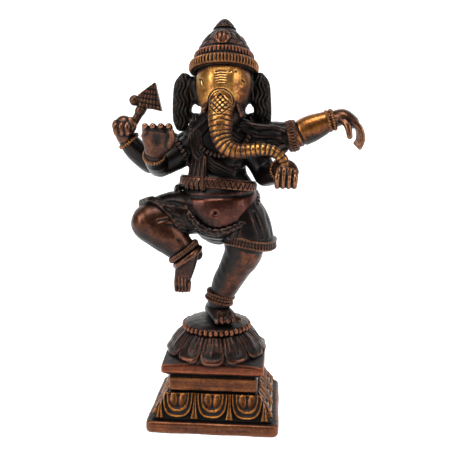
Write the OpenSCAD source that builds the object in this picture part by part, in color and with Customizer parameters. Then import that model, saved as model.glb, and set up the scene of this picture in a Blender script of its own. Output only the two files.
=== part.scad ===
// Dancing elephant-headed figure, lost-wax brass, on a stepped lotus pedestal.
// Frame: millimetres, +Z up, the figure faces -Y, origin at the middle of the pedestal's foot.
// Every node is one wax piece of the foundry's model, or one loose metal piece of the finished casting.

/* [Pedestal] */
// Width of the foot slab, left to right
slab_w = 58; // [50:1:64]
// Depth of the foot slab, front to back
slab_d = 52; // [46:1:58]
// Height of the foot slab
slab_h = 5.2; // [4:0.2:7]
// Height of the sloping petal tier
tier_h = 10.6; // [8:0.2:13]
// Height of the straight neck block
neck_h = 8; // [6:0.5:11]
// Height of the square cornice
cornice_h = 7; // [5:0.2:9]
// Height of the round lotus cushion
cushion_h = 9.6; // [8:0.2:13]
// Radius of the disc that the figure stands on
disc_r = 15.2; // [14:0.2:18]
// Thickness of the disc
disc_h = 5.1; // [4:0.1:6]
// Number of beads round the disc
bead_count = 40; // [24:1:44]
// Number of petals round the cushion
cushion_petals = 12; // [8:1:16]
// Wall thickness of the hollow pedestal
wall = 3.5; // [3:0.25:5]

/* [Figure] */
// Height of the figure, sole to crown tip
figure_h = 132; // [120:1:145]
// Radius of the rivet that holds the figure on its pedestal
rivet_r = 2.5; // [2:0.1:3]

/* [Hidden] */

// ---- finishes ----
dark_patina = "#2b2622";
brown_patina = "#5e3a28";
rubbed_brass = "#b07a35";

// ---- pedestal heights, foot upwards ----
tier_z = slab_h;
neck_z = tier_z + tier_h;
cornice_z = neck_z + neck_h;
cushion_z = cornice_z + cornice_h;
disc_z = cushion_z + cushion_h;
sole_z = disc_z + disc_h;

tier_inset = 2.6;                    // ledge of the foot slab round the tier, at each side
neck_w = slab_w - 19.2;
neck_d = slab_d - 16;
cornice_w = neck_w + 6;
cornice_d = neck_d + 6;
cornice_flare = 1.9;                 // height of the flare under the cornice's upright face
cornice_fall = 1.8;                  // fall of the cornice's top from the cushion to the corners
cushion_r = cornice_w / 2 - 0.8;
disc_rim = 2.8;                      // height of the disc's upright rim, below its domed top
tier_foot = [slab_w - 2 * tier_inset, slab_d - 2 * tier_inset];
tier_top = [neck_w + 1, neck_d + 1];
bore_r = rivet_r + 0.05;
rivet_at = [1, -3, 0];               // the rivet stands under the middle of the foot
part_grow = figure_h / 132;          // the figure's stations are written for a figure 132 mm tall

// ======== shared shapes ========

function unit(v) = v / norm(v);
function point(s) = [s[0], s[1], s[2]];

// Catmull-Rom curve through stations of any length, a fixed number of steps between neighbours.
function curve_at(a, b, c, d, t) =
    0.5 * (2 * b + (c - a) * t + (2 * a - 5 * b + 4 * c - d) * t * t + (3 * b - a - 3 * c + d) * t * t * t);
function curve(s, steps) = [
    for (i = [0 : len(s) - 2], k = [0 : steps - 1])
        curve_at(s[max(i - 1, 0)], s[i], s[i + 1], s[min(i + 2, len(s) - 1)], k / steps),
    s[len(s) - 1]
];

// Rings beyond one end that round it off. way is the outward direction.
function dome(s, way, angles) = [
    for (a = angles)
        let (reach = min(s[3], s[4]) * sin(a), p = point(s) + way * reach)
            [p[0], p[1], p[2], s[3] * cos(a), s[4] * cos(a)]
];
function backwards(s) = [for (i = [len(s) - 1 : -1 : 0]) s[i]];
function with_domes(s, angles) = let (n = len(s) - 1) concat(
    backwards(dome(s[0], unit(point(s[0]) - point(s[1])), angles)),
    s,
    dome(s[n], unit(point(s[n]) - point(s[n - 1])), angles)
);

// One oval ring across the way t. The first half size lies square to both t and front.
function oval(s, t, front, sides) =
    let (u = unit(cross(front, t)), v = cross(t, u))
        [for (j = [0 : sides - 1])
            point(s) + u * s[3] * cos(360 * j / sides) + v * s[4] * sin(360 * j / sides)];

function ring_faces(rings, sides, closed = false) = [
    for (i = [0 : rings - (closed ? 1 : 2)], j = [0 : sides - 1])
        let (a = i * sides, b = ((i + 1) % rings) * sides, k = (j + 1) % sides)
            each [[a + j, b + j, b + k], [a + j, b + k, a + k]]
];

// A limb: a smooth solid through oval stations [x, y, z, half width, half depth], with rounded ends.
module limb(stations, sides = 12, steps = 2, front = [0, -1, 0]) {
    s = with_domes(curve(stations, steps), sides > 8 ? [42, 74] : [60]);
    n = len(s);
    rings = [for (i = [0 : n - 1])
        oval(s[i], unit(point(s[min(i + 1, n - 1)]) - point(s[max(i - 1, 0)])), front, sides)];
    last = (n - 1) * sides;
    polyhedron(
        [for (r = rings) each r],
        concat(
            ring_faces(n, sides),
            [[for (j = [0 : sides - 1]) j]],
            [[for (j = [sides - 1 : -1 : 0]) last + j]]
        )
    );
}

// A closed oval hoop in the XY plane: radii rx and ry, and a strip of half width w and half thickness d.
module hoop(rx, ry, w, d, sides = 8, steps = 28) {
    rings = [for (i = [0 : steps - 1])
        let (a = 360 * i / steps, out = unit([ry * cos(a), rx * sin(a), 0]))
            [for (j = [0 : sides - 1])
                [rx * cos(a), ry * sin(a), 0]
                + out * d * cos(360 * j / sides) + [0, 0, w * sin(360 * j / sides)]]];
    polyhedron([for (r = rings) each r], [for (f = ring_faces(steps, sides, true)) [f[2], f[1], f[0]]]);
}

// Turns +Z to the direction way, about the point at.
module facing(at, way) translate(at) rotate([0, acos(way[2] / norm(way)), atan2(way[1], way[0])]) children();

// A ring of round wire whose hole points along way. The seat it presses into a limb is coarser, and a little deeper.
module wire_ring(at, way, r, wire, seat) facing(at, way)
    rotate_extrude($fn = seat ? 24 : 48)
        translate([r, 0]) circle(seat ? wire * 1.06 : wire, $fn = seat ? 10 : 16);

// Everything on the side of a plane that way points to.
module beyond(at, way) facing(at, way) translate([-60, -60, 0]) cube(120);

// A cut between two wax pieces is [point, way], where way points from the body out along the limb.
module outside(cut) beyond(cut[0], cut[1]);
module inside(cut) beyond(cut[0], -cut[1]);

// Wire rings round a cut, each shifted along the limb by one of shifts.
module rings_on(cut, r, wire, shifts, seat) {
    for (k = shifts) wire_ring(cut[0] + unit(cut[1]) * k, cut[1], r, wire, seat);
}

// One watertight skin: its size is unchanged, and the children are joined as meshes.
module skin() resize([0, 0, 0]) union() children();

// The first child, with a seat cut in it for each of the others.
module seated() resize([0, 0, 0]) difference() {
    children(0);
    children([1 : $children - 1]);
}

// The figure stands on the disc: children are in its own frame, with the sole at z = 0.
module on_disc() translate([0, 0, sole_z]) scale(part_grow) children();

// ---- cuts, each hidden under a ring ----
standing_ankle = [[1.9, -3.2, 10.2], [0.3, 0, 1]];
raised_ankle = [[-11.9, -14.2, 32], [0.6, 0, -0.8]];
stretched_elbow = [[33.1, -2.1, 82.1], [1, 0, 0.2]];
stretched_wrist = [[49.1, -3.8, 88.7], [0.95, 0, 0.3]];
sweet_wrist = [[28, -16.2, 68.4], [0.45, -0.85, 0.3]];
blessing_wrist = [[-24.7, -14.4, 74.4], [0, -0.8, 0.6]];
axe_wrist = [[-39, 0.9, 79.6], [-0.58, -0.26, 0.78]];

// A block with upright edges rounded by r in front and by back_r behind.
module rounded_block(w, d, h, r, back_r) linear_extrude(h) union() {
    translate([-w / 2 + r, -d / 2]) square([w - 2 * r, d / 2]);
    translate([-w / 2, -d / 2 + r]) square([w, d - r - back_r]);
    translate([-w / 2 + back_r, 0]) square([w - 2 * back_r, d / 2]);
    for (x = [-1, 1]) {
        translate([x * (w / 2 - r), -d / 2 + r]) circle(r, $fn = 48);
        translate([x * (w / 2 - back_r), d / 2 - back_r]) circle(back_r, $fn = 64);
    }
}

// A block whose square section shrinks evenly from foot to top.
module frustum(foot, top, h) {
    polyhedron(
        [for (level = [[foot, 0], [top, h]], c = [[-1, -1], [1, -1], [1, 1], [-1, 1]])
            [c[0] * level[0][0] / 2, c[1] * level[0][1] / 2, level[1]]],
        [[0, 1, 2, 3], [7, 6, 5, 4], [0, 4, 5, 1], [1, 5, 6, 2], [2, 6, 7, 3], [3, 7, 4, 0]]
    );
}

module cavity(w, d, h) translate([-w / 2 + wall, -d / 2 + wall, -1]) cube([w - 2 * wall, d - 2 * wall, h + 2]);

// ======== pedestal ========

module foot_slab() color(brown_patina) difference() {
    rounded_block(slab_w, slab_d, slab_h, 3, 5);
    cavity(tier_foot[0] - 3, tier_foot[1] - 3, slab_h);
}

module petal_tier() color(brown_patina) translate([0, 0, tier_z]) difference() {
    frustum(tier_foot, tier_top, tier_h);
    frustum([tier_foot[0] - 3 - 2 * wall, tier_foot[1] - 3 - 2 * wall], [neck_w - 2 * wall, neck_d - 2 * wall], tier_h);
}

// A raised petal lying in the XZ plane, tip down, with its back on y = 0.
module petal(w, h, t) limb([
    [0, 0, 0, w * 0.36, t * 0.6], [0, -t * 0.2, -h * 0.35, w * 0.48, t],
    [0, -t * 0.3, -h * 0.72, w * 0.48, t], [0, -t * 0.2, -h * 0.93, w * 0.26, t * 0.7]
], 6, 1);

// Petals along one side of the tier: run is the side's length at the foot, out its distance from the middle.
module tier_side_petals(run, out, inset) {
    lean = atan2(inset, tier_h);
    for (i = [-1 : 1])
        translate([i * run * 0.29, -out + inset + 0.1, tier_z + tier_h - 1.2]) rotate([-lean, 0, 0])
            rotate([0, -i * 8, 0]) petal(run * 0.25, tier_h - 2.4, 0.9);
    for (i = [-0.5, 0.5])
        translate([i * run * 0.29, -out + inset + 0.1, tier_z + tier_h - 1.2]) rotate([-lean, 0, 0])
            rotate([0, -i * 8, 0]) petal(run * 0.05, tier_h - 2, 0.7);
}

module tier_petals() color(rubbed_brass) seated() {
    for (side = [0 : 3]) rotate(90 * side)
        tier_side_petals(
            tier_foot[side % 2], tier_foot[(side + 1) % 2] / 2,
            (tier_foot[(side + 1) % 2] - tier_top[(side + 1) % 2]) / 2
        );
    petal_tier();
    foot_slab();
    neck_block();
}

module neck_block() color(brown_patina) translate([0, 0, neck_z]) difference() {
    rounded_block(neck_w, neck_d, neck_h, 1, 1);
    cavity(neck_w, neck_d, neck_h);
}

// The upright faces are cut by a shallow cone, so each has an arched top edge.
module cornice() color(brown_patina) difference() {
    translate([0, 0, cornice_z]) {
        frustum([neck_w, neck_d], [cornice_w - 7, cornice_d - 7], cornice_flare);
        translate([0, 0, cornice_flare]) intersection() {
            rounded_block(cornice_w, cornice_d, cornice_h - cornice_flare, 1.2, 10);
            union() {
                cylinder(r = 40, h = cornice_h - cornice_flare - cornice_fall);
                translate([0, 0, cornice_h - cornice_flare - cornice_fall])
                    cylinder(r1 = cushion_r + 10, r2 = cushion_r, h = cornice_fall, $fn = 48);
            }
        }
    }
    translate([0, 0, cornice_z - 1] + rivet_at) cylinder(r = bore_r, h = cornice_h + 2, $fn = 48);
}

module lotus_cushion() color(dark_patina) difference() {
    translate([0, 0, cushion_z]) rotate_extrude($fn = 48) polygon([
        [0, 0], [cushion_r, 0], [cushion_r - 0.6, cushion_h * 0.2], [cushion_r - 2, cushion_h * 0.42],
        [cushion_r - 4.2, cushion_h * 0.7], [disc_r - 0.4, cushion_h], [0, cushion_h]
    ]);
    translate([0, 0, cushion_z - 1] + rivet_at) cylinder(r = bore_r, h = cushion_h + 2, $fn = 48);
}

module cushion_petal_ring() color(brown_patina) seated() {
    for (i = [0 : cushion_petals - 1]) rotate(360 * (i + 0.5) / cushion_petals)
        translate([0, -disc_r - 0.6, disc_z - 1.4]) rotate([-33, 0, 0]) petal(9, 9, 1.1);
    lotus_cushion();
}

// The beads sit half sunk in a groove round the disc's rim.
bead_r = 1.15;
bead_path_r = disc_r - 0.4;
bead_z = disc_z + disc_rim / 2;

module standing_disc() color(dark_patina) difference() {
    translate([0, 0, disc_z]) {
        cylinder(r = bead_path_r, h = disc_rim, $fn = 48);
        translate([0, 0, disc_rim]) cylinder(r1 = bead_path_r, r2 = disc_r - 6.4, h = disc_h - disc_rim, $fn = 48);
    }
    translate([0, 0, disc_z - 1] + rivet_at) cylinder(r = bore_r, h = disc_h + 2, $fn = 48);
    translate([0, 0, bead_z]) rotate_extrude($fn = 48) translate([bead_path_r, 0]) circle(bead_r + 0.02, $fn = 20);
}

module disc_beads() color(rubbed_brass) {
    for (i = [0 : bead_count - 1]) rotate(360 * i / bead_count)
        translate([bead_path_r, 0, bead_z]) sphere(bead_r, $fn = 16);
}

// Brass rivet through the pedestal into the figure's foot, peened over a washer inside the hollow neck.
module fixing_rivet() color(rubbed_brass) translate(rivet_at) {
    translate([0, 0, cornice_z - 1.5]) cylinder(r = rivet_r, h = sole_z - cornice_z + 4, $fn = 48);
    translate([0, 0, cornice_z - 3.5]) cylinder(r1 = rivet_r + 0.6, r2 = rivet_r + 1.8, h = 2, $fn = 48);
}

module rivet_washer() color(rubbed_brass) translate([0, 0, cornice_z - 1.5] + rivet_at) difference() {
    cylinder(r = 7, h = 1.5, $fn = 64);
    translate([0, 0, -1]) cylinder(r = bore_r, h = 4, $fn = 48);
}

// ======== legs ========

module rivet_hole() translate(rivet_at) cylinder(r = bore_r, h = 5.2, center = true, $fn = 24);

module standing_foot_form() skin() {
    limb([[-2.2, 2.6, 2.8, 3.6, 3.4], [0, -2, 4, 5, 4.8], [3.6, -7, 2.6, 5.6, 3.6], [5.4, -10, 1.8, 5.6, 2.2]],
        12, 1, [0, 0, 1]);
    limb([[1.6, -3.2, 9, 5.3, 5.3], [0.8, -2, 4.5, 5, 5]]);
    for (i = [0 : 4])
        limb([[1.2 + 2.2 * i, -8.8 - 0.2 * i, 1.9, 1.35 - 0.07 * i, 1.5],
              [1.4 + 2.45 * i, -12.8 + 0.35 * i * i / 2, 1.5, 1.25 - 0.07 * i, 1.3]], 8, 1, [0, 0, 1]);
}
module standing_foot() color(brown_patina) on_disc() seated() {
    standing_foot_form();
    translate([-20, -20, -10]) cube([40, 40, 10]);
    rivet_hole();
    outside(standing_ankle);
    standing_anklet_form();
}

module standing_anklet_form(seat = true) rings_on(standing_ankle, 5.9, 1.1, [-1.4, 1.4], seat);
module standing_anklet() color(rubbed_brass) on_disc() standing_anklet_form(seat = false);

module standing_leg_form() limb([
    [2.0, -3.2, 9.5, 5.2, 5.2], [4.4, -4, 16, 6.2, 6.2], [9.2, -6, 25, 7.2, 7.2],
    [12.9, -7.6, 33.5, 8.7, 8.2], [12, -5.5, 45, 9.5, 9]
], 14);
module standing_leg() color(brown_patina) on_disc() seated() {
    standing_leg_form();
    inside(standing_ankle);
    standing_anklet_form();
    torso_form();
}

module raised_leg_form() skin() {
    limb([[-5, -6, 48, 8.4, 8.6], [-16, -10, 48.2, 8.8, 8.8], [-27.2, -14, 45.6, 8.1, 8.1]], 14);
    limb([[-27.2, -14, 45.4, 8.1, 8.1], [-19.4, -14.4, 39.6, 7.7, 7.4], [-13.2, -14.2, 33.8, 5.9, 5.6]], 14);
}
module raised_leg() color(brown_patina) on_disc() seated() {
    raised_leg_form();
    outside(raised_ankle);
    raised_anklet_form();
    torso_form();
}

module raised_anklet_form(seat = true) rings_on(raised_ankle, 6.4, 1.25, [-1.5, 1.5], seat);
module raised_anklet() color(rubbed_brass) on_disc() raised_anklet_form(seat = false);

module raised_foot_form() skin() {
    limb([[-11, -13.6, 32.5, 5, 5.2], [-12.2, -14.6, 26, 4.3, 4.2], [-13.5, -16, 20, 3.4, 2.7]]);
    limb([[-9.6, -12.6, 34, 4, 4.2], [-7.6, -11.2, 31.4, 2.8, 3.2]]);
    for (i = [0 : 4])
        limb([[-15.9 + 1.45 * i, -16.2 - 0.1 * i, 20, 0.95, 1.5],
              [-15.7 + 1.35 * i, -17, 16.6 - 0.3 * i + 0.08 * i * i, 0.85, 1.1]], 8, 1);
}
module raised_foot() color(brown_patina) on_disc() seated() {
    raised_foot_form();
    inside(raised_ankle);
    raised_anklet_form();
}

// ======== cloth ========

thigh_cut = [-14.5, -20, 44.5];      // a point on the slanting edge of the cloth over the raised thigh
thigh_cut_way = [315, 331, 261];     // points from that edge into the cloth
border_w = 3.2;                      // width of the pleated border along that edge
hem_at = [15.2, -3.6, 37];
hem_lean = 7;                        // the hem hangs lower on the outside

module on_hem() translate(hem_at) rotate([0, hem_lean, 0]) children();

module raised_cover_form(grow) limb([
    [-3, -4.5, 48.8, 9.2 + grow, 9.9 + grow], [-16, -9.8, 48.9, 9.7 + grow, 9.7 + grow],
    [-28, -13.6, 46.2, 8.8 + grow, 8.8 + grow]
], 12, 1);
module dhoti_form() skin() {
    limb([[0, -4, 40.5, 8, 8], [0.4, -3.5, 43, 13, 12], [0.8, -2.5, 47, 17.4, 16.2], [0.8, -1, 51, 17.4, 16],
          [0.8, 0.8, 55.5, 16.2, 13.6]], 12, 1);
    difference() {
        limb([[8.6, -1.6, 50, 11.2, 12.2], [12.8, -3, 43, 11.6, 11], [15, -3.6, 37, 11, 10.6]], 12, 1);
        on_hem() translate([-30, -30, -40]) cube([60, 60, 40]);
    }
    difference() {
        intersection() {
            raised_cover_form(0);
            beyond(thigh_cut + 0.5 * border_w * unit(thigh_cut_way), thigh_cut_way);
        }
        // the cloth stops short of the crease where the raised thigh meets the belly
        translate([-20, -30, 30]) cube([15, 21, 13]);
    }
}
module dhoti() color(dark_patina) on_disc() seated() {
    dhoti_form();
    raised_leg_form();
    standing_leg_form();
    torso_form();
    standing_hem_form();
    raised_hem_form();
    waist_cord_form();
}

module standing_hem_form() on_hem() difference() {
    scale([1, 0.94, 1]) cylinder(r1 = 11.9, r2 = 11.5, h = 3.6, center = true, $fn = 32);
    scale([1, 0.94, 1]) cylinder(r = 10.2, h = 12, center = true, $fn = 32);
}
module standing_hem() color(brown_patina) on_disc() seated() {
    standing_hem_form();
    standing_leg_form();
}

// Pleated border along the slanting edge of the cloth.
module raised_hem_form() intersection() {
    raised_cover_form(0.9);
    beyond(thigh_cut, thigh_cut_way);
    beyond(thigh_cut + border_w * unit(thigh_cut_way), -thigh_cut_way);
}
module raised_hem() color(dark_patina) on_disc() seated() {
    raised_hem_form();
    raised_leg_form();
    torso_form();
}

// Twisted cord round the hips, low in front under the belly.
module waist_cord_form() limb([
    [3, 12.6, 58.2, 1.7, 1.9], [10, 11.2, 58, 1.7, 1.9], [16, 5.6, 57.2, 1.7, 1.9], [18, -3, 55, 1.8, 1.9],
    [17.4, -9.4, 51.4, 1.8, 2], [14.2, -14, 47, 1.8, 2], [8, -17, 43.8, 1.9, 2], [0.8, -17.8, 42.4, 1.9, 2],
    [-5.6, -18.2, 45, 1.9, 2], [-10.6, -16.4, 50.8, 1.9, 2], [-14, -12.4, 56, 1.8, 2], [-16.2, -6, 59, 1.8, 1.9],
    [-15.6, 2, 59.4, 1.7, 1.9], [-12, 8.5, 59, 1.7, 1.9], [-5, 12.2, 58.4, 1.7, 1.9], [-1, 12.9, 58.2, 1.7, 1.9]
], 8, 1, [0, 0, 1]);
module waist_cord() color(dark_patina) on_disc() seated() {
    waist_cord_form();
    torso_form();
    raised_leg_form();
}

// Gathered cloth over the left shoulder and upper arm.
module shoulder_folds_form() skin() {
    for (f = [0 : 3])
        limb([[9 - f, -4.2 - f, 88.5 - 1.6 * f, 1.8, 2.4], [17, -7 + f * 0.3, 86.1 - 3.2 * f, 1.9, 1.9],
              [25, -7.6 + f * 0.6, 85 - 3.4 * f, 1.9, 1.7], [30, -6.2 + f * 0.5, 83.6 - 2.4 * f, 1.5, 1.5]], 8, 1);
}
module shoulder_folds() color(dark_patina) on_disc() seated() {
    shoulder_folds_form();
    torso_form();
    stretched_arm_form();
    sweet_arm_form();
    necklace_form();
}

module chest_sash_form() limb([
    [-3, -7, 88, 2.4, 2], [-8, -8.6, 82, 3, 1.9], [-6, -9.8, 75, 3.4, 1.9], [1, -10.8, 69, 3.6, 1.8],
    [8, -11, 65.5, 3.2, 1.6]
], 8);
module chest_sash() color(dark_patina) on_disc() seated() {
    chest_sash_form();
    torso_form();
    necklace_form();
}

// Loose ends of the sash, hanging over the right hip.
module sash_tassel_form() skin() {
    for (i = [0 : 3])
        limb([[-8.8 + 1.7 * i, -8.2 - 1.1 * i, 73, 1.1, 1.5], [-9.6 + 1.9 * i, -9.8 - 1.3 * i, 67, 1.3, 1.6],
              [-11 + 2.3 * i, -12 - 1.5 * i, 60.5, 1.2, 1.4]], 8, 1);
}
module sash_tassel() color(dark_patina) on_disc() seated() {
    sash_tassel_form();
    torso_form();
    chest_sash_form();
}

// ======== torso and its ornaments ========

module torso_form() limb([
    [1, -1, 42, 9, 8.4], [1.2, -3.2, 46, 15.6, 13.8], [1.4, -4, 52, 17.4, 15.2], [1.4, -3, 58.5, 16, 13.2],
    [0.8, -1.5, 64.5, 13.2, 11], [0.6, -0.5, 70.5, 12.8, 10], [1.2, 0, 76.5, 14.6, 10],
    [1.8, 0, 81.5, 16, 9.4], [2.8, -0.5, 86, 12, 7.6]
], 18);
module torso() color(dark_patina) on_disc() seated() {
    torso_form();
    head_form();
}

module belly_band_form() translate([1.1, -2.2, 61.2]) rotate([-6, 5, 0]) hoop(15.6, 13.2, 2.7, 1.5);
module belly_band() color(brown_patina) on_disc() seated() {
    belly_band_form();
    torso_form();
    sash_tassel_form();
    chest_sash_form();
}

// Beads on a string; only its front is modelled, from shoulder to shoulder.
module necklace_form() limb([
    [-10.6, -3, 86, 1.2, 1.2], [-9, -8, 81, 1.2, 1.2], [-3.5, -11, 76, 1.2, 1.2], [3.5, -11.6, 74, 1.2, 1.2],
    [10.5, -10.6, 76.6, 1.2, 1.2], [14.6, -8.4, 82, 1.2, 1.2], [14.4, -4, 86, 1.2, 1.2]
], 8);
module necklace() color(dark_patina) on_disc() seated() {
    necklace_form();
    torso_form();
    head_form();
    trunk_form();
    stretched_arm_form();
    blessing_arm_form();
    hair_form();
}

// ======== arms: left and right are the figure's own ========

module sweet_arm_form() skin() {
    limb([[12, 0, 79, 6, 6], [18.6, -2, 71.6, 5.5, 5.5], [21.8, -4.4, 65.6, 5.1, 5.1]], 14);
    limb([[21.9, -4.8, 65.5, 5.1, 5.1], [25.4, -11.5, 66.6, 4.3, 4.3], [28.4, -17, 68.6, 3.6, 3.6]], 12, 2,
        front = [0, 0, 1]);
}
module sweet_arm() color(dark_patina) on_disc() seated() {
    sweet_arm_form();
    torso_form();
    outside(sweet_wrist);
    sweet_bracelet_form();
}

module sweet_bracelet_form(seat = true) rings_on(sweet_wrist, 3.9, 0.9, [0.1], seat);
module sweet_bracelet() color(rubbed_brass) on_disc() sweet_bracelet_form(seat = false);

// Palm inwards, with the fingers hanging over the sweet.
module sweet_hand_form() skin() {
    limb([[28.6, -18.4, 69, 3.6, 3.4], [30.2, -21.8, 69.8, 4.6, 3.6], [31, -24.6, 68.4, 4.8, 2.8]],
        front = [0, 0, 1]);
    for (i = [0 : 3])
        limb([[27.2 + 2.3 * i, -25, 69.2 - 0.5 * i, 1.25, 1.4], [27 + 2.3 * i, -26.8, 66.2 - 0.3 * i, 1.25, 1.3],
              [27 + 2.25 * i, -26, 62.9, 1.1, 1.2]], 8, 1);
}
module sweet_hand() color(rubbed_brass) on_disc() seated() {
    sweet_hand_form();
    inside(sweet_wrist);
    sweet_bracelet_form();
    trunk_form();
    sweet_form();
}

module sweet_form() translate([29.6, -23.2, 64.4]) sphere(2.4, $fn = 24);
module sweet() color(rubbed_brass) on_disc() sweet_form();

module stretched_arm_form()
    limb([[10, 0, 80.5, 6.4, 6.6], [20, -1, 81.3, 6.8, 6.6], [31.6, -2, 82, 6.1, 6.1]], 16);
module stretched_arm() color(dark_patina) on_disc() seated() {
    stretched_arm_form();
    torso_form();
    sweet_arm_form();
    outside(stretched_elbow);
    stretched_armlet_form();
}

module stretched_armlet_form(seat = true) rings_on(stretched_elbow, 5.7, 1.1, [-1.15, 1.15], seat);
module stretched_armlet() color(rubbed_brass) on_disc() stretched_armlet_form(seat = false);

module stretched_forearm_form()
    limb([[33, -2.2, 82.1, 5.5, 5.6], [37, -2.6, 83.4, 5.8, 5.8], [42, -3, 85.7, 5.7, 5.7], [48.6, -3.7, 88.6, 4.3, 4.3]]);
module stretched_forearm() color(rubbed_brass) on_disc() seated() {
    stretched_forearm_form();
    inside(stretched_elbow);
    outside(stretched_wrist);
    stretched_armlet_form();
    stretched_bracelet_form();
}

module stretched_bracelet_form(seat = true) rings_on(stretched_wrist, 3.9, 0.9, [-0.95, 0.95], seat);
module stretched_bracelet() color(rubbed_brass) on_disc() stretched_bracelet_form(seat = false);

// The hand droops from the wrist like an elephant's trunk.
module stretched_hand_form() skin() {
    limb([[50.6, -4, 89.2, 3.6, 3.9], [54.2, -4.8, 90.1, 3.4, 4.6], [58, -5.6, 88, 2.8, 4.8]], 12, 1);
    for (i = [0 : 3])
        limb([[57.8, -9 + 2.3 * i, 88.2, 1.5, 1.2], [60.8, -9.4 + 2.5 * i, 85.4, 1.3, 1.2],
              [61.9 - 0.2 * i, -9.6 + 2.6 * i, 81, 1.2, 1.1], [61 - 0.3 * i, -9.4 + 2.6 * i, 77.6 + 0.5 * i, 1.0, 1.0]],
            8, 1);
    limb([[53.4, -7.6, 89.2, 1.7, 1.5], [55.6, -10, 86.6, 1.5, 1.4], [56.6, -10.6, 82.2, 1.2, 1.2]], 8, 2);
}
module stretched_hand() color(brown_patina) on_disc() seated() {
    stretched_hand_form();
    inside(stretched_wrist);
    stretched_bracelet_form();
}

module blessing_arm_form() skin() {
    limb([[-8, -0.6, 79, 6.2, 6.2], [-16, -2.5, 73.6, 5.8, 5.8], [-23.9, -5.1, 69.5, 5.3, 5.3]]);
    limb([[-24.2, -5.4, 69.4, 5.3, 5.3], [-24.9, -10.6, 71.6, 4.7, 4.7], [-24.7, -15, 74.8, 3.9, 3.9]], 12, 2,
        front = [1, 0, 0]);
}
module blessing_arm() color(dark_patina) on_disc() seated() {
    blessing_arm_form();
    torso_form();
    blessing_armlet_form();
    outside(blessing_wrist);
    blessing_bracelet_form();
}

module blessing_armlet_form(seat = true) wire_ring([-14.4, -2, 74.8], [-0.8, -0.2, -0.5], 6.1, 1.2, seat);
module blessing_armlet() color(dark_patina) on_disc() seated() {
    blessing_armlet_form();
    torso_form();
}

module blessing_bracelet_form(seat = true) rings_on(blessing_wrist, 4.2, 0.9, [0.1], seat);
module blessing_bracelet() color(rubbed_brass) on_disc() blessing_bracelet_form(seat = false);

// Palm to the front, with the fingers up and curling forwards.
module blessing_hand_form() skin() {
    limb([[-24.2, -16.4, 76, 4.4, 3], [-22.6, -18.2, 80.4, 6.9, 3.2], [-22, -19.4, 84, 6.4, 2.6]]);
    for (i = [0 : 3])
        limb([[-27 + 3.25 * i, -19.4, 83.4, 1.55, 1.6], [-26.8 + 3.25 * i, -21.2, 86, 1.5, 1.5],
              [-26.6 + 3.25 * i, -23.4, 86.6, 1.25, 1.25]], 8, 1, [1, 0, 0]);
    limb([[-17.6, -19.2, 79, 1.9, 1.7], [-15.9, -21, 82.2, 1.5, 1.5], [-16.2, -22.4, 84.6, 1.2, 1.2]], 8, 2);
}
module blessing_hand() color(brown_patina) on_disc() seated() {
    blessing_hand_form();
    inside(blessing_wrist);
    blessing_bracelet_form();
}

module axe_arm_form() skin() {
    limb([[-8, 3, 81, 6, 6], [-19, 4.8, 75.4, 5.7, 5.7], [-30, 4.4, 70.2, 5.3, 5.3]], 14);
    limb([[-30.4, 4.3, 70.2, 5.3, 5.3], [-35.8, 2.4, 75.2, 5.1, 5.1], [-39.8, 0.6, 80.6, 4.2, 4.2]], 14);
}
module axe_arm() color(dark_patina) on_disc() seated() {
    axe_arm_form();
    torso_form();
    blessing_arm_form();
    axe_armlet_form();
    outside(axe_wrist);
    axe_bracelet_form();
}

module axe_armlet_form(seat = true) wire_ring([-16.4, 4.4, 76.6], [-0.85, 0.1, -0.42], 6, 1.1, seat);
module axe_armlet() color(dark_patina) on_disc() seated() {
    axe_armlet_form();
    torso_form();
    blessing_arm_form();
    blessing_armlet_form();
}

module axe_bracelet_form(seat = true) rings_on(axe_wrist, 4.4, 0.9, [0.1], seat);
module axe_bracelet() color(rubbed_brass) on_disc() axe_bracelet_form(seat = false);

// A fist round the axe shaft.
module axe_hand_form() skin() {
    limb([[-40.2, 0.2, 81.6, 4.2, 4.2], [-41, -0.6, 85, 4.4, 4.4], [-40.4, -1.2, 87, 4, 3.8]]);
    for (i = [0 : 2])
        limb([[-43.8 + 2.6 * i, -2.6, 87.6 + 0.2 * i, 1.4, 1.5], [-43.4 + 2.6 * i, -5, 86.2, 1.35, 1.5],
              [-43 + 2.6 * i, -5, 83.2, 1.2, 1.3]], 8, 1, [1, 0, 0]);
    limb([[-38, -3, 83.4, 1.6, 1.6], [-35.8, -4, 86, 1.6, 1.6], [-37, -3.4, 89, 1.3, 1.3]], 8, 2);
}
module axe_hand() color(brown_patina) on_disc() seated() {
    axe_hand_form();
    inside(axe_wrist);
    axe_bracelet_form();
    axe_form();
}

// A round shaft, a knob behind the head, and a fan-shaped blade whose edge is to the right.
module axe_form() skin() {
    facing([-38.8, -1.8, 83], [0.62, 0, 1]) cylinder(r = 1.8, h = 13.6, $fn = 16);
    translate([-31, -1.8, 0]) rotate([90, 0, 0]) linear_extrude(3.8, center = true) polygon([
        [0.6, 93.6], [3.4, 93.4], [7.8, 92.4], [7, 95.4], [6.4, 98.4], [5.6, 101.8], [5, 105],
        [1, 102.2], [-2.6, 99.6], [-2.4, 96]
    ]);
    translate([-35.4, -1.8, 97.2]) sphere(2.4, $fn = 20);
}
module axe() color(rubbed_brass) on_disc() axe_form();

// ======== head ========

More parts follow.
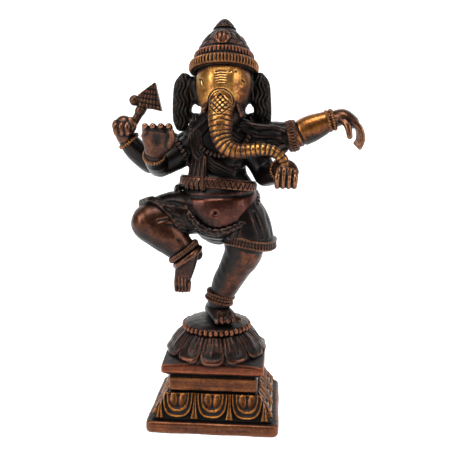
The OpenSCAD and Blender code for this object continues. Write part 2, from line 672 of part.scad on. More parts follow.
module hair_form() skin() {
    limb([[3.6, 3.2, 83.6, 14.2, 5.2], [3.6, 3.4, 86.6, 13.6, 4.6]], 14, 1);
    limb([[3.8, 3, 102.4, 14.4, 5.6], [3.8, 3, 105, 14.4, 7.2], [3.8, 2.6, 108, 13.2, 8]], 14, 1);
    limb([[3.8, 5, 86, 8.4, 5], [3.8, 5.4, 94, 7.4, 5], [3.8, 5, 104, 7.4, 5]], 12, 1);
}
module hair() color(dark_patina) on_disc() seated() {
    hair_form();
    head_form();
    torso_form();
    crown_form();
    stretched_arm_form();
    axe_arm_form();
    blessing_arm_form();
}

module head_form() limb([
    [3.8, -6.2, 91, 7.6, 6.8], [3.8, -6, 95.5, 10.4, 9.8], [3.8, -5, 100.5, 11.6, 11],
    [3.8, -4, 105.5, 11.8, 11.2], [3.8, -3, 110, 10.6, 10.4]
], 18);
module head() color(rubbed_brass) on_disc() seated() {
    head_form();
    trunk_form();
    crown_form();
    crown_band_form(lower_band);
    left_tusk_form();
    right_tusk_form();
}

// The flap hangs past the cheek and leaves a gap beside it. out is -1 or 1, away from the head.
module ear_form(x, out, lean) limb([
    [x - out * 1.4, 0.5, 107.2, 2.6, 1.6], [x - out * 0.2, 0, 103.6, 3.8, 2.2], [x + lean, -0.4, 98.5, 3.9, 2.4],
    [x + 2 * lean, -0.2, 93, 3.9, 2.4], [x + 2.6 * lean, 0.4, 88.5, 3.6, 2.4], [x + 2 * lean, 1, 85.5, 3, 2.2]
]);
module left_ear_form() ear_form(19.6, 1, 0.3);
module right_ear_form() ear_form(-14.6, -1, -0.3);
module left_ear() color(dark_patina) on_disc() seated() {
    left_ear_form();
    hair_form();
    crown_form();
    stretched_arm_form();
    torso_form();
    shoulder_folds_form();
}
module right_ear() color(dark_patina) on_disc() seated() {
    right_ear_form();
    hair_form();
    crown_form();
    torso_form();
    axe_arm_form();
    blessing_arm_form();
}

module trunk_form() limb([
    [3.8, -11, 97, 6, 4.6], [3.8, -16, 92.4, 5.5, 4.8], [3.8, -18.8, 87.6, 5.1, 4.6], [4.2, -20.4, 82.6, 4.3, 4.1],
    [6.4, -21.6, 78.4, 3.9, 3.8], [10.6, -22.4, 76.5, 3.3, 3.3], [15.8, -23, 76.8, 2.8, 2.8], [21, -23.4, 77.3, 2.6, 2.6],
    [25.6, -23.6, 76.4, 2.5, 2.5], [28.8, -23.8, 73.8, 2.3, 2.3], [30, -24, 71.2, 2, 2]
], 14);
module trunk() color(rubbed_brass) on_disc() trunk_form();

module left_tusk_form() limb([[10.2, -13, 94.5, 1.6, 1.6], [11.4, -16, 92, 1.3, 1.3], [12, -18.2, 90.6, 0.8, 0.8]]);
module right_tusk_form() limb([[-2.6, -13, 94.5, 1.6, 1.6], [-3.4, -15.4, 92.8, 1.4, 1.4]]);
module left_tusk() color(rubbed_brass) on_disc() seated() { left_tusk_form(); trunk_form(); }
module right_tusk() color(rubbed_brass) on_disc() seated() { right_tusk_form(); trunk_form(); }

// ======== crown ========

crown_foot = [4, -1.4, 108.2];
crown_tilt = -15;
crown_r = 13.6;
crown_top = 19.4;
// Each band is [height above the crown's foot, middle radius, half height, half thickness].
lower_band = [2.4, 14, 2.2, 1.8];
upper_band = [6.7, 12, 1.8, 1.7];

module on_crown() translate(crown_foot) rotate([crown_tilt, 0, 0]) children();
function crown_radius(t) = 4.4 + (crown_r - 4.4) * (1 - pow(t, 2.2));

module crown_form() on_crown() rotate_extrude($fn = 48)
    polygon(concat([[0, 0]], [for (t = [0 : 0.1 : 1]) [crown_radius(t), crown_top * t]], [[0, crown_top]]));
module crown() color(dark_patina) on_disc() difference() {
    crown_form();
    crown_band_form(lower_band);
    crown_band_form(upper_band);
}

module crown_band_form(band) on_crown() translate([0, 0, band[0]]) rotate_extrude($fn = 48) polygon([
    for (a = [0 : 30 : 330]) [band[1] + band[3] * cos(a), band[2] * sin(a)]
]);
module crown_lower_band() color(rubbed_brass) on_disc() crown_band_form(lower_band);
module crown_upper_band() color(brown_patina) on_disc() crown_band_form(upper_band);

module crown_medallion_form() on_crown() translate([0, -10.6, 12.4]) rotate([-28, 0, 0]) limb([
    [0, 0, -3.2, 2, 1], [0, -0.4, -1, 3.4, 1.6], [0, -0.4, 1.6, 2.8, 1.5], [0, 0, 3.8, 1, 0.8]
]);
module crown_medallion() color(brown_patina) on_disc() seated() {
    crown_medallion_form();
    crown_form();
}

module crown_finial() color(dark_patina) on_disc() on_crown() translate([0, 0, crown_top]) rotate_extrude($fn = 48)
    polygon([[0, 0], [4.9, 0], [4.5, 0.8], [3.9, 1.6], [3.2, 2.6], [2.2, 3.8], [1, 4.7], [0, 4.9]]);

// ======== node selector ========

foot_slab();
petal_tier();
tier_petals();
neck_block();
cornice();
lotus_cushion();
cushion_petal_ring();
standing_disc();
disc_beads();
fixing_rivet();
rivet_washer();
standing_foot();
standing_anklet();
standing_leg();
raised_leg();
raised_anklet();
raised_foot();
dhoti();
standing_hem();
raised_hem();
waist_cord();
torso();
belly_band();
sash_tassel();
shoulder_folds();
chest_sash();
necklace();
sweet_arm();
sweet_hand();
sweet_bracelet();
sweet();
stretched_arm();
stretched_armlet();
stretched_forearm();
stretched_bracelet();
stretched_hand();
blessing_arm();
blessing_armlet();
blessing_bracelet();
blessing_hand();
axe_arm();
axe_armlet();
axe_bracelet();
axe_hand();
axe();
hair();
head();
left_ear();
right_ear();
trunk();
left_tusk();
right_tusk();
crown();
crown_lower_band();
crown_upper_band();
crown_medallion();
crown_finial();
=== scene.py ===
import bpy
import numpy as np
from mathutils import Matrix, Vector


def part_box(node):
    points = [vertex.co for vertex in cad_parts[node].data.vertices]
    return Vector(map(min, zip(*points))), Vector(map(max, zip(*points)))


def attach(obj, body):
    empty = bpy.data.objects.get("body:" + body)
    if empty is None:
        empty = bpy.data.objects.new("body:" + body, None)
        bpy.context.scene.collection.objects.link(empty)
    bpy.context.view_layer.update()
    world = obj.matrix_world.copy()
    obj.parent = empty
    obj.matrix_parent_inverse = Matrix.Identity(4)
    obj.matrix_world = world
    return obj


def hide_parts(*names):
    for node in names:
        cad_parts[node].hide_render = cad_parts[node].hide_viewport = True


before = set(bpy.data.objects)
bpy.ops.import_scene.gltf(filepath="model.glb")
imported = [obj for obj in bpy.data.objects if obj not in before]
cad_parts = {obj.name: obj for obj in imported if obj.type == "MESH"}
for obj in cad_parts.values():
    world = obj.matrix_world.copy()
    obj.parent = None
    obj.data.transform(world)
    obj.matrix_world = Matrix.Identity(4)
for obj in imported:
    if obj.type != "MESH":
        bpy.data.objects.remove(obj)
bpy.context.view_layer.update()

# ---- Foot slab ----
# The lowest step: a plain brown slab, hollow below, cast in one with the tier above it.
# Its edges are filed round by hand, and its top is a ledge round the tier.
MM = 0.001
pieces = []
painted_shade_way = {}  # for a piece with painted shade on one side, the way that side faces


class Wire:
    """One output of a material's nodes. Arithmetic on it adds Math nodes."""

    def __init__(self, finish, socket):
        self.finish = finish
        self.socket = socket

    def maths(self, kind, left, right):
        return self.finish.node("ShaderNodeMath", {"operation": kind}, {0: left, 1: right})

    def __add__(self, other):
        return self.maths("ADD", self, other)

    def __radd__(self, other):
        return self.maths("ADD", other, self)

    def __sub__(self, other):
        return self.maths("SUBTRACT", self, other)

    def __rsub__(self, other):
        return self.maths("SUBTRACT", other, self)

    def __mul__(self, other):
        return self.maths("MULTIPLY", self, other)

    def __rmul__(self, other):
        return self.maths("MULTIPLY", other, self)


class Finish:
    """A material in the making."""

    def __init__(self, name):
        self.material = bpy.data.materials.new(name)
        self.material.use_nodes = True
        self.tree = self.material.node_tree
        self.surface = self.tree.nodes["Principled BSDF"]

    def node(self, kind, settings, inputs, output=0):
        made = self.tree.nodes.new(kind)
        for key, value in settings.items():
            if key == "stops":
                ramp = made.color_ramp
                for at, colour in value[1:-1]:
                    ramp.elements.new(at)
                for stop, (at, colour) in zip(ramp.elements, value):
                    stop.position = at
                    stop.color = colour
            else:
                setattr(made, key, value)
        for key, value in inputs.items():
            self.put(made.inputs[key], value)
        return Wire(self, made.outputs[output])

    def put(self, socket, value):
        if isinstance(value, Wire):
            self.tree.links.new(value.socket, socket)
        else:
            socket.default_value = value

    def feed(self, inputs):
        for key, value in inputs.items():
            self.put(self.surface.inputs[key], value)


def tint(red, green, blue):
    """A colour given as 0 to 255 on a screen, as the shader wants it."""
    return [((v / 255 + 0.055) / 1.055) ** 2.4 if v > 10 else v / 255 / 12.92
            for v in (red, green, blue)] + [1]


def grey(value):
    return [value, value, value, 1]


def patina(name, recess, body, proud, shine, lift=0.0, gloss=0.36, mottle=0.3, pitted=0.5,
           brushed=0.0, fade=None):
    """Patina from recess to shine, laid by each spot's wear with painted shade added into it.

    fade is (height, height, change of wear).
    """
    finish = Finish(name)
    spot = finish.node("ShaderNodeTexCoord", {}, {}, "Object")
    # the level read here is wear of the patina with painted shade added into it
    worn = finish.node("ShaderNodeAttribute", {"attribute_name": "worn"}, {}, "Fac")
    cloud = finish.node("ShaderNodeTexNoise", {},
                        {"Vector": spot, "Scale": 110, "Detail": 4, "Roughness": 0.6}, "Fac")
    speck = finish.node("ShaderNodeTexNoise", {},
                        {"Vector": spot, "Scale": 900, "Detail": 5, "Roughness": 0.65}, "Fac")
    grit = finish.node("ShaderNodeTexNoise", {},
                       {"Vector": spot, "Scale": 3200, "Detail": 3, "Roughness": 0.6}, "Fac")
    tone = worn + (cloud - 0.5) * mottle + (speck - 0.5) * 0.5 + lift
    if fade:
        height = finish.node("ShaderNodeSeparateXYZ", {}, {"Vector": spot}, "Z")
        tone = tone + finish.node(
            "ShaderNodeMapRange", {"interpolation_type": "SMOOTHSTEP"},
            {"Value": height, 1: fade[0] * MM, 2: fade[1] * MM, 3: 0.0, 4: fade[2]})
    height_map = speck * 0.6 + grit * 0.4
    if brushed:
        stretched = finish.node("ShaderNodeMapping", {},
                                {"Vector": spot, "Scale": (0.05, 0.05, 1.0)})
        streak = finish.node("ShaderNodeTexNoise", {},
                             {"Vector": stretched, "Scale": 1500, "Detail": 4}, "Fac")
        tone = tone + (streak - 0.5) * brushed
        height_map = height_map + streak * brushed
    colour = finish.node("ShaderNodeValToRGB", {"stops": [
        (0.0, recess), (0.34, recess), (0.52, body), (0.72, proud), (1.0, shine)]}, {"Fac": tone})
    bare = finish.node("ShaderNodeValToRGB", {"stops": [
        (0.0, grey(0.65)), (0.4, grey(0.8)), (0.65, grey(0.97)), (1.0, grey(1.0))]}, {"Fac": tone})
    dull = finish.node("ShaderNodeMapRange", {},
                       {"Value": tone, 1: 0.2, 2: 0.9, 3: gloss + 0.16, 4: gloss - 0.06})
    bump = finish.node("ShaderNodeBump", {},
                       {"Strength": pitted, "Distance": 0.00022, "Height": height_map}, "Normal")
    finish.feed({
        "Base Color": colour, "Metallic": bare, "Roughness": dull + (speck - 0.5) * 0.2,
        "Normal": bump, "Coat Weight": 0.12, "Coat Roughness": 0.3})
    return finish.material


def place(name, points, faces, finish, slot, *nodes):
    """Makes a piece from points in millimetres, and lets it stand for its CAD nodes."""
    mesh = bpy.data.meshes.new(name)
    mesh.from_pydata((np.asarray(points) * MM).tolist(), [], [list(map(int, f)) for f in faces])
    mesh.validate()
    mesh.polygons.foreach_set("use_smooth", [True] * len(mesh.polygons))
    mesh.materials.append(finish)
    piece = bpy.data.objects.new(name, mesh)
    bpy.context.scene.collection.objects.link(piece)
    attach(piece, "root")
    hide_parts(*nodes)
    pieces.append(piece)
    return piece


def box_of(node):
    low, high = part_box(node)
    return np.array(low) / MM, np.array(high) / MM


def between(rings, around, closed=False):
    """Squares between rings that follow each other upwards, each with the same number of points."""
    last = rings if closed else rings - 1
    i, j = np.meshgrid(np.arange(last), np.arange(around), indexing="ij")
    i, j = i.ravel(), j.ravel()
    up, on = (i + 1) % rings, (j + 1) % around
    return np.stack([i * around + j, i * around + on, up * around + on, up * around + j], axis=1)


def outward(points, squares):
    """Unit normals at the points."""
    across = np.cross(points[squares[:, 2]] - points[squares[:, 0]],
                      points[squares[:, 3]] - points[squares[:, 1]])
    total = np.zeros_like(points)
    for corner in range(4):
        for axis in range(3):
            total[:, axis] += np.bincount(squares[:, corner], across[:, axis], len(points))
    return total / np.maximum(np.linalg.norm(total, axis=1, keepdims=True), 1e-9)


def wobble(points, size, seed=0.0):
    """The slow unevenness of hand-worked wax."""
    x, y, z = points.T
    slow = np.sin(0.31 * x + 0.17 * z + seed) * np.sin(0.27 * y + 0.21 * z + 2 * seed)
    quick = (np.sin(0.83 * x - 0.61 * y + 0.7 * z + 3 * seed)
             * np.sin(0.57 * x + 0.92 * y - 0.4 * z + seed))
    return size * (0.65 * slow + 0.35 * quick)


def block_ring(w, d, inset, front_r, back_r, side=96, corner=9):
    """Points round a block's section, anticlockwise from the front left corner."""
    ring = []
    for sx, sy, r, turn in ((-1, -1, front_r, 180), (1, -1, front_r, 270), (1, 1, back_r, 0),
                            (-1, 1, back_r, 90)):
        r = max(r - inset, 0.3)
        angle = np.radians(np.linspace(turn, turn + 90, corner))
        arc = np.stack([sx * (w / 2 - inset - r) + r * np.cos(angle),
                        sy * (d / 2 - inset - r) + r * np.sin(angle)], 1)
        ring.append(arc)
    full = []
    for k in range(4):
        a, b = ring[k][-1], ring[(k + 1) % 4][0]
        steps = np.linspace(0, 1, side + 1)[1:-1, None]
        full += [ring[k], a + (b - a) * steps]
    return np.vstack(full)


def stack(w, d, levels, front_r, back_r, top_of=None):
    """A hollow block from (inset, height) levels.

    They run from its inner foot, up its outside, to its inner top.
    """
    rows = []
    for inset, z in levels:
        ring = block_ring(w, d, inset, front_r, back_r)
        heights = np.full(len(ring), float(z))
        if top_of:
            heights = np.minimum(heights, top_of(np.hypot(ring[:, 0], ring[:, 1])))
        rows.append(np.column_stack([ring, heights]))
    points = np.vstack(rows)
    return points, between(len(rows), len(rows[0]), closed=True)


def uneven(points, squares, size, seed):
    return points + outward(points, squares) * wobble(points, size, seed)[:, None]


low, high = box_of("foot_slab")
slab_w, slab_d = high[0] - low[0], high[1] - low[1]
slab_h = high[2]
slab_levels = [(7, 0), (1.4, 0), (0.5, 0.15), (0.1, 0.7), (0, 1.6), (0, slab_h * 0.5),
               (0.1, slab_h * 0.75), (0.35, slab_h - 0.5), (0.9, slab_h - 0.1), (1.6, slab_h),
               (2.6, slab_h), (4, slab_h - 0.1), (7, slab_h - 0.1)]
points, squares = stack(slab_w, slab_d, slab_levels, 3, 5)
points = uneven(points, squares, 0.16, 1)
points[:, 2] = np.maximum(points[:, 2], 0)
slab_brass = patina("slab brass", tint(22, 15, 12), tint(70, 39, 27), tint(112, 66, 42),
                    tint(176, 120, 80), lift=0.02, gloss=0.42, brushed=0.35)
place("slab", points, squares, slab_brass, "pedestal_brass", "foot_slab")

# ---- Petal tier ----
# The sloping step: black ground with lotus petals in low relief on its four sides. Each broad
# petal is drawn with two raised lines and holds two lobes, and a thin leaf stands between petals.
# The petals are pressed on in the wax, and rubbed to gold.
tier_low, tier_high = box_of("petal_tier")
neck_low, neck_high = box_of("neck_block")
tier_w, tier_d = tier_high[0] - tier_low[0], tier_high[1] - tier_low[1]
tier_foot, tier_head = tier_low[2], tier_high[2]
tier_rise = tier_head - tier_foot
neck_w, neck_d = neck_high[0] - neck_low[0], neck_high[1] - neck_low[1]
lean_w, lean_d = (tier_w - neck_w - 1) / 2, (tier_d - neck_d - 1) / 2


def sloping_block():
    rows = []
    for inset, share in ((5, 0), (0.4, 0), (0, 0.03), (0, 0.1), (0, 0.5), (0, 0.9), (0.2, 0.98),
                         (1, 1), (5, 1)):
        ring = block_ring(tier_w - 2 * lean_w * share, tier_d - 2 * lean_d * share, inset, 0.8, 0.8,
                          side=60)
        rows.append(np.column_stack([ring, np.full(len(ring), tier_foot + tier_rise * share)]))
    return np.vstack(rows), between(len(rows), len(rows[0]), closed=True)


def ridge(distance, width):
    return np.exp(-(distance / width) ** 2)


def petal_height(x, v, spacing):
    """Height of the relief at x along a side and v down its slope, from the middle petal's top."""
    height = np.full(x.shape, -0.5)
    for i in (-1, 0, 1):
        away = np.abs(x - i * spacing)
        reach = ((away / 6.6) ** 2.8 + (np.maximum(v, 0) / 9.6) ** 2.8) ** (1 / 2.8)
        inside = np.clip((1.04 - reach) / 0.05, 0, 1)
        line = 0.95 * ridge(reach - 0.95, 0.075) + 0.8 * ridge(reach - 0.7, 0.075)
        lobe = 1 - np.sqrt(((away - 2.1) / 1.9) ** 2 + ((v - 2.9) / 3.6) ** 2)
        height = np.maximum(height, inside * (0.15 + line + 1.0 * np.sqrt(np.clip(lobe, 0, 1)))
                            - 0.5 * (1 - inside))
    for i in (-1.5, -0.5, 0.5, 1.5):
        away = np.abs(x - i * spacing)
        half = 0.75 + 1.1 * np.clip(v / 9.8, 0, 1) ** 3
        leaf = np.clip((half - away) / 0.35, 0, 1) * np.clip((10.2 - v) / 0.4, 0, 1)
        height = np.maximum(height, leaf * (1.15 - 0.5 * ridge(away, 0.25)) - 0.5 * (1 - leaf))
    return height


def side_relief(run, reach, lean, turn):
    """The relief skin of one side, with its length at the foot and its reach from the middle."""
    slope = np.hypot(tier_rise, lean)
    across, down = 230, 44
    s, t = np.meshgrid(np.linspace(-1, 1, across), np.linspace(0, 1, down), indexing="ij")
    half = (run / 2 - lean * (1 - t)) - 0.3
    x = s * half
    height = petal_height(x, t * (slope - 0.6) - 0.3, run * 0.288)
    kept = np.clip((1 - np.abs(s)) / 0.02, 0, 1)
    height = height * kept - 0.4 * (1 - kept)
    z = tier_head - t * tier_rise
    out = reach - lean * (1 - t)
    up_tilt = lean / slope
    flat = tier_rise / slope
    top = np.stack([x, -(out + height * flat), z + height * up_tilt], -1).reshape(-1, 3)
    back = np.stack([x, -(out - 1.2 * flat), z - 1.2 * up_tilt], -1).reshape(-1, 3)
    i, j = np.meshgrid(np.arange(across - 1), np.arange(down - 1), indexing="ij")
    a = (i * down + j).ravel()
    skin = np.stack([a, a + 1, a + down + 1, a + down], 1)
    shift = across * down
    rim = [k * down for k in range(across)] + [(across - 1) * down + k for k in range(1, down)]
    rim += [k * down + down - 1 for k in range(across - 2, -1, -1)]
    rim += [k for k in range(down - 2, 0, -1)]
    rim = np.array(rim)
    following = np.roll(rim, -1)
    wall = np.stack([rim, following, following + shift, rim + shift], 1)
    points = np.vstack([top, back])
    angle = np.radians(turn)
    turned = points.copy()
    turned[:, 0] = points[:, 0] * np.cos(angle) - points[:, 1] * np.sin(angle)
    turned[:, 1] = points[:, 0] * np.sin(angle) + points[:, 1] * np.cos(angle)
    return turned, np.vstack([skin, skin[:, ::-1] + shift, wall])


def together(shapes):
    """Several shapes as one."""
    points, faces, start = [], [], 0
    for p, f in shapes:
        points.append(p)
        faces.append(np.asarray(f) + start)
        start += len(p)
    return np.vstack(points), np.vstack(faces)


points, squares = sloping_block()
tier_ground = patina("tier ground", tint(14, 11, 9), tint(40, 28, 22), tint(78, 50, 34),
                     tint(140, 92, 56), lift=-0.04, gloss=0.4)
place("tier", points, squares, tier_ground, "pedestal_brass", "petal_tier")
points, squares = together([
    side_relief(tier_w, tier_d / 2, lean_d, 0), side_relief(tier_d, tier_w / 2, lean_w, 90),
    side_relief(tier_w, tier_d / 2, lean_d, 180), side_relief(tier_d, tier_w / 2, lean_w, 270)])
petal_gold = patina("petal gold", tint(18, 12, 9), tint(80, 44, 23), tint(150, 92, 40),
                    tint(214, 162, 80), lift=0.06, gloss=0.34)
place("petals_of_the_tier", points, squares, petal_gold, "pedestal_petals", "tier_petals")

# ---- Neck ----
# The straight block between the tiers, orange brown, filed along its length so that fine
# streaks show. A groove runs round it above and below.
neck_foot, neck_head = neck_low[2], neck_high[2]
neck_levels = [(5, neck_foot), (0.6, neck_foot), (0.5, neck_foot + 0.3), (0.5, neck_foot + 0.6),
               (0.1, neck_foot + 0.9), (0, neck_foot + 1.5), (0, neck_foot + 3), (0, neck_foot + 4),
               (0, neck_foot + 5.4), (0, neck_head - 1.4), (0.25, neck_head - 1.0),
               (0.5, neck_head - 0.7), (0.5, neck_head), (5, neck_head)]
points, squares = stack(neck_w, neck_d, neck_levels, 1, 1)
points = uneven(points, squares, 0.1, 4)
neck_brass = patina("neck brass", tint(18, 12, 10), tint(74, 40, 24), tint(112, 66, 36),
                    tint(172, 114, 64), lift=0.1, gloss=0.42, brushed=0.4)
place("neck", points, squares, neck_brass, "pedestal_brass", "neck_block")

# ---- Cornice ----
# The square top step. Its upright faces are red brown, each with an arched upper edge where the
# round shoulder under the lotus cuts it. The rear corners are rounded off.
low, high = box_of("cornice")
cornice_w, cornice_d = high[0] - low[0], high[1] - low[1]
cornice_foot, cornice_head = low[2], high[2]
cushion_low, cushion_high = box_of("lotus_cushion")
cushion_r = (cushion_high[0] - cushion_low[0]) / 2
fall = 1.8


def shoulder(r):
    """Height of the round shoulder at a distance from the middle."""
    return cornice_head - np.clip((r - cushion_r) / 10 * fall, 0, 9)


face_foot = cornice_foot + 1.9
top = cornice_head + 1
cornice_levels = [(8, cornice_foot + 0.05), (3.4, cornice_foot + 0.05), (2.6, cornice_foot + 0.4),
                  (0.7, face_foot - 0.1), (0.15, face_foot + 0.2), (0, face_foot + 0.7),
                  (0, face_foot + 2), (0, cornice_head - fall - 0.8),
                  (0.05, cornice_head - fall - 0.3), (0.25, top), (0.6, top), (1.2, top), (2, top),
                  (3.5, top), (5.5, top), (8, top)]
points, squares = stack(cornice_w, cornice_d, cornice_levels, 1.2, 10, top_of=shoulder)
points = uneven(points, squares, 0.12, 2)
cornice_brass = patina("cornice brass", tint(18, 12, 10), tint(72, 35, 23), tint(112, 59, 37),
                       tint(176, 110, 74), lift=0.1, gloss=0.38, brushed=0.3,
                       fade=(cornice_head - 1.8, cornice_head - 0.6, -0.26))
place("cornice_step", points, squares, cornice_brass, "pedestal_brass", "cornice")

# ---- Lotus cushion ----
# A round cushion of folded lotus petals, nearly black, modelled in the wax with a rounded stick.
# Each wide petal hangs over the shoulder with a thick rim, and pleats gather between petals.
cushion_foot, cushion_head = cushion_low[2], cushion_high[2]
disc_low, disc_high = box_of("standing_disc")
beads_low, beads_high = box_of("disc_beads")
beads_r = (beads_high[0] - beads_low[0]) / 2
petal_count = 12


def turned(profile, around):
    """Rings of points from a profile of radius and height."""
    angle = np.arange(around) / around * 2 * np.pi - np.pi / 2
    r, z = np.array(profile, float).T
    ring = np.stack([r[:, None] * np.cos(angle), r[:, None] * np.sin(angle),
                     np.repeat(z[:, None], around, 1)], -1)
    return ring.reshape(-1, 3), angle


def spread(profile, count):
    """The profile again, with count points spaced evenly along it."""
    profile = np.array(profile, float)
    step = np.concatenate([[0], np.cumsum(np.linalg.norm(np.diff(profile, axis=0), axis=1))])
    even = np.linspace(0, step[-1], count)
    return np.column_stack([np.interp(even, step, profile[:, k]) for k in (0, 1)])


cushion_h = cushion_head - cushion_foot
profile = spread([
    (cushion_r - 4, cushion_foot - 0.4), (cushion_r + 0.2, cushion_foot),
    (cushion_r - 0.3, cushion_foot + 0.1 * cushion_h),
    (cushion_r - 1.1, cushion_foot + 0.26 * cushion_h),
    (cushion_r - 2.2, cushion_foot + 0.45 * cushion_h),
    (cushion_r - 4.2, cushion_foot + 0.7 * cushion_h),
    (cushion_r - 6.6, cushion_foot + 0.9 * cushion_h), (beads_r - 2.4, cushion_head),
    (beads_r - 7, cushion_head)], 90)
rings, around = len(profile), 720
points, angle = turned(profile, around)
squares = between(rings, around)
down = np.repeat(np.linspace(1, 0, rings), around)
across = (np.tile(np.arange(around) / around, rings) * petal_count + 0.5) % 1 * 2 - 1
edge = 0.86 - 0.07 * np.abs(across) ** 2.4 - 0.13 * np.abs(across) ** 8
petal = np.clip((edge - down) / 0.03, 0, 1)
height = petal * (0.95 - 0.35 * across ** 2 + 0.45 * ridge(down - edge + 0.08, 0.06))
height -= petal * 0.6 * ridge(np.abs(across) - 1, 0.07)
height -= petal * 0.45 * ridge(np.abs(across) - 0.62, 0.07) * np.clip((0.62 - down) / 0.1, 0, 1)
height += petal * 0.3 * ridge(across, 0.12) * np.clip((0.7 - down) / 0.1, 0, 1)
height *= np.clip((down - 0.16) / 0.12, 0, 1)
points = points + outward(points, squares) * (height + wobble(points, 0.25, 6))[:, None]
faces = list(squares) + [list(range(around))[::-1],
                         list(range((rings - 1) * around, rings * around))]
cushion_black = patina("cushion black", tint(13, 10, 10), tint(40, 27, 22), tint(84, 51, 38),
                       tint(148, 100, 72), mottle=0.5, lift=0.05, gloss=0.34, pitted=0.7)
place("lotus", points, faces, cushion_black, "pedestal_petals", "lotus_cushion",
      "cushion_petal_ring")

# ---- Standing disc and its beads ----
# The round plate under the foot, domed on top and black, with a row of notched copper beads in
# a groove round its rim.
disc_foot, disc_head = disc_low[2], disc_high[2]
profile = spread([(beads_r - 4, disc_foot - 0.6), (beads_r - 2.2, disc_foot),
                  (beads_r - 1.5, disc_foot + 0.3), (beads_r - 1.7, disc_foot + 1.4),
                  (beads_r - 1.2, disc_foot + 2.6), (beads_r - 1.6, disc_foot + 3.0),
                  (beads_r - 4, disc_foot + 4.0), (beads_r - 8, disc_foot + 4.8), (1, disc_head)],
                 44)
rings, around = len(profile), 240
points, angle = turned(profile, around)
squares = between(rings, around)
points = uneven(points, squares, 0.18, 8)
faces = list(squares) + [list(range(around))[::-1],
                         list(range((rings - 1) * around, rings * around))]
disc_black = patina("disc black", tint(13, 11, 10), tint(36, 26, 22), tint(70, 46, 36),
                    tint(132, 92, 68), lift=0.0, gloss=0.36, pitted=0.7)
place("disc", points, faces, disc_black, "blackened_brass", "standing_disc")


def bead(at, way, size, sides=18, rings=12):
    """A bead at a place, its hole along way. size is (along way, outwards)."""
    way = np.array(way, float) / np.linalg.norm(way)
    u = np.cross(way, [0.3, 0.2, 1.0])
    u /= np.linalg.norm(u)
    v = np.cross(way, u)
    tilt = np.linspace(-np.pi / 2 + 0.16, np.pi / 2 - 0.16, rings)
    turn = np.arange(sides) / sides * 2 * np.pi
    out = size[1] * np.cos(tilt)[:, None]
    ring = (np.array(at) + (size[0] * np.sin(tilt))[:, None, None] * way
            + (out * np.cos(turn))[..., None] * u + (out * np.sin(turn))[..., None] * v)
    grid = between(rings, sides)
    first, last = np.arange(sides), np.arange((rings - 1) * sides, rings * sides)
    half = sides // 2
    caps = [[first[(half + k + 1) % sides], first[(half + k) % sides],
             first[(half - k) % sides], first[(half - k - 1) % sides]] for k in range(half)]
    caps += [[last[(half - k - 1) % sides], last[(half - k) % sides],
              last[(half + k) % sides], last[(half + k + 1) % sides]] for k in range(half)]
    caps = [c for c in caps if len(set(c)) == 4]
    return ring.reshape(-1, 3), np.vstack([grid, caps])


bead_z = (beads_low[2] + beads_high[2]) / 2
bead_count = 40
groove_r = beads_r - 1.25
shapes = []
for k in range(bead_count):
    turn = 2 * np.pi * (k + 0.5) / bead_count
    size = 1.15 + 0.1 * np.sin(5.0 * k)
    shapes.append(bead([groove_r * np.cos(turn), groove_r * np.sin(turn),
                        bead_z + 0.15 * np.sin(3.0 * k)],
                       [-np.sin(turn), np.cos(turn), 0], (1.05, size)))
points, squares = together(shapes)
points[:, 2] = bead_z + 1.3 * (points[:, 2] - bead_z)
bead_copper = patina("bead copper", tint(18, 12, 10), tint(66, 37, 27), tint(112, 68, 48),
                     tint(178, 122, 88), lift=0.06, gloss=0.34)
place("beads_of_the_disc", points, squares, bead_copper, "brown_ornament", "disc_beads")

# ---- Fixing rivet ----
# A plain brass rivet through the pedestal into the foot, peened over a washer in the hollow neck.
# It is out of sight from above, and keeps its turned shape.
rivet_brass = patina("rivet brass", tint(96, 66, 34), tint(150, 108, 56), tint(190, 145, 80),
                     tint(225, 185, 120), lift=0.3, gloss=0.32, brushed=0.3)
for node in ("fixing_rivet", "rivet_washer"):
    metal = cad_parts[node].data.materials
    metal.clear()
    metal.append(rivet_brass)

# ---- Standing leg ----
# The figure's bent left leg, one solid casting with the foot, red copper where it is rubbed. Wax
# limbs are pressed together and smoothed where they meet, then toes and creases are cut in.
sole = disc_high[2]


def curve(stations, steps):
    """A smooth curve through the stations."""
    s = np.array(stations, float)
    p = np.vstack([s[:1], s, s[-1:]])
    t = np.linspace(0, 1, steps, endpoint=False)[:, None]
    rows = []
    for a, b, c, d in zip(p, p[1:], p[2:], p[3:]):
        rows.append(0.5 * (2 * b + (c - a) * t + (2 * a - 5 * b + 4 * c - d) * t ** 2
                           + (3 * b - a - 3 * c + d) * t ** 3))
    return np.vstack(rows + [s[-1:]])


def limb(stations, front=(0, -1, 0), sides=30, steps=7):
    """A round limb through stations of place, half width and half depth, in the figure's frame."""
    s = curve(stations, steps)
    ends = []
    for end, inner in ((s[0], s[1]), (s[-1], s[-2])):
        way = (end - inner)[:3] / np.linalg.norm((end - inner)[:3])
        rows = []
        for a in np.radians((18, 36, 52, 66, 78, 86)):
            at = end[:3] + way * min(end[3], end[4]) * np.sin(a)
            rows.append(np.concatenate([at, end[3:] * np.cos(a)]))
        ends.append(rows)
    s = np.vstack([ends[0][::-1], s, ends[1]])
    way = np.gradient(s[:, :3], axis=0)
    way /= np.linalg.norm(way, axis=1, keepdims=True)
    u = np.cross(np.array(front, float), way)
    u /= np.linalg.norm(u, axis=1, keepdims=True)
    v = np.cross(way, u)
    turn = np.arange(sides) / sides * 2 * np.pi
    ring = (s[:, None, :3] + u[:, None] * (s[:, 3, None] * np.cos(turn))[..., None]
            + v[:, None] * (s[:, 4, None] * np.sin(turn))[..., None])
    n = len(s)
    faces = [list(f) for f in between(n, sides)]
    faces += [list(range(sides))[::-1], list(range((n - 1) * sides, n * sides))]
    return ring.reshape(-1, 3), faces


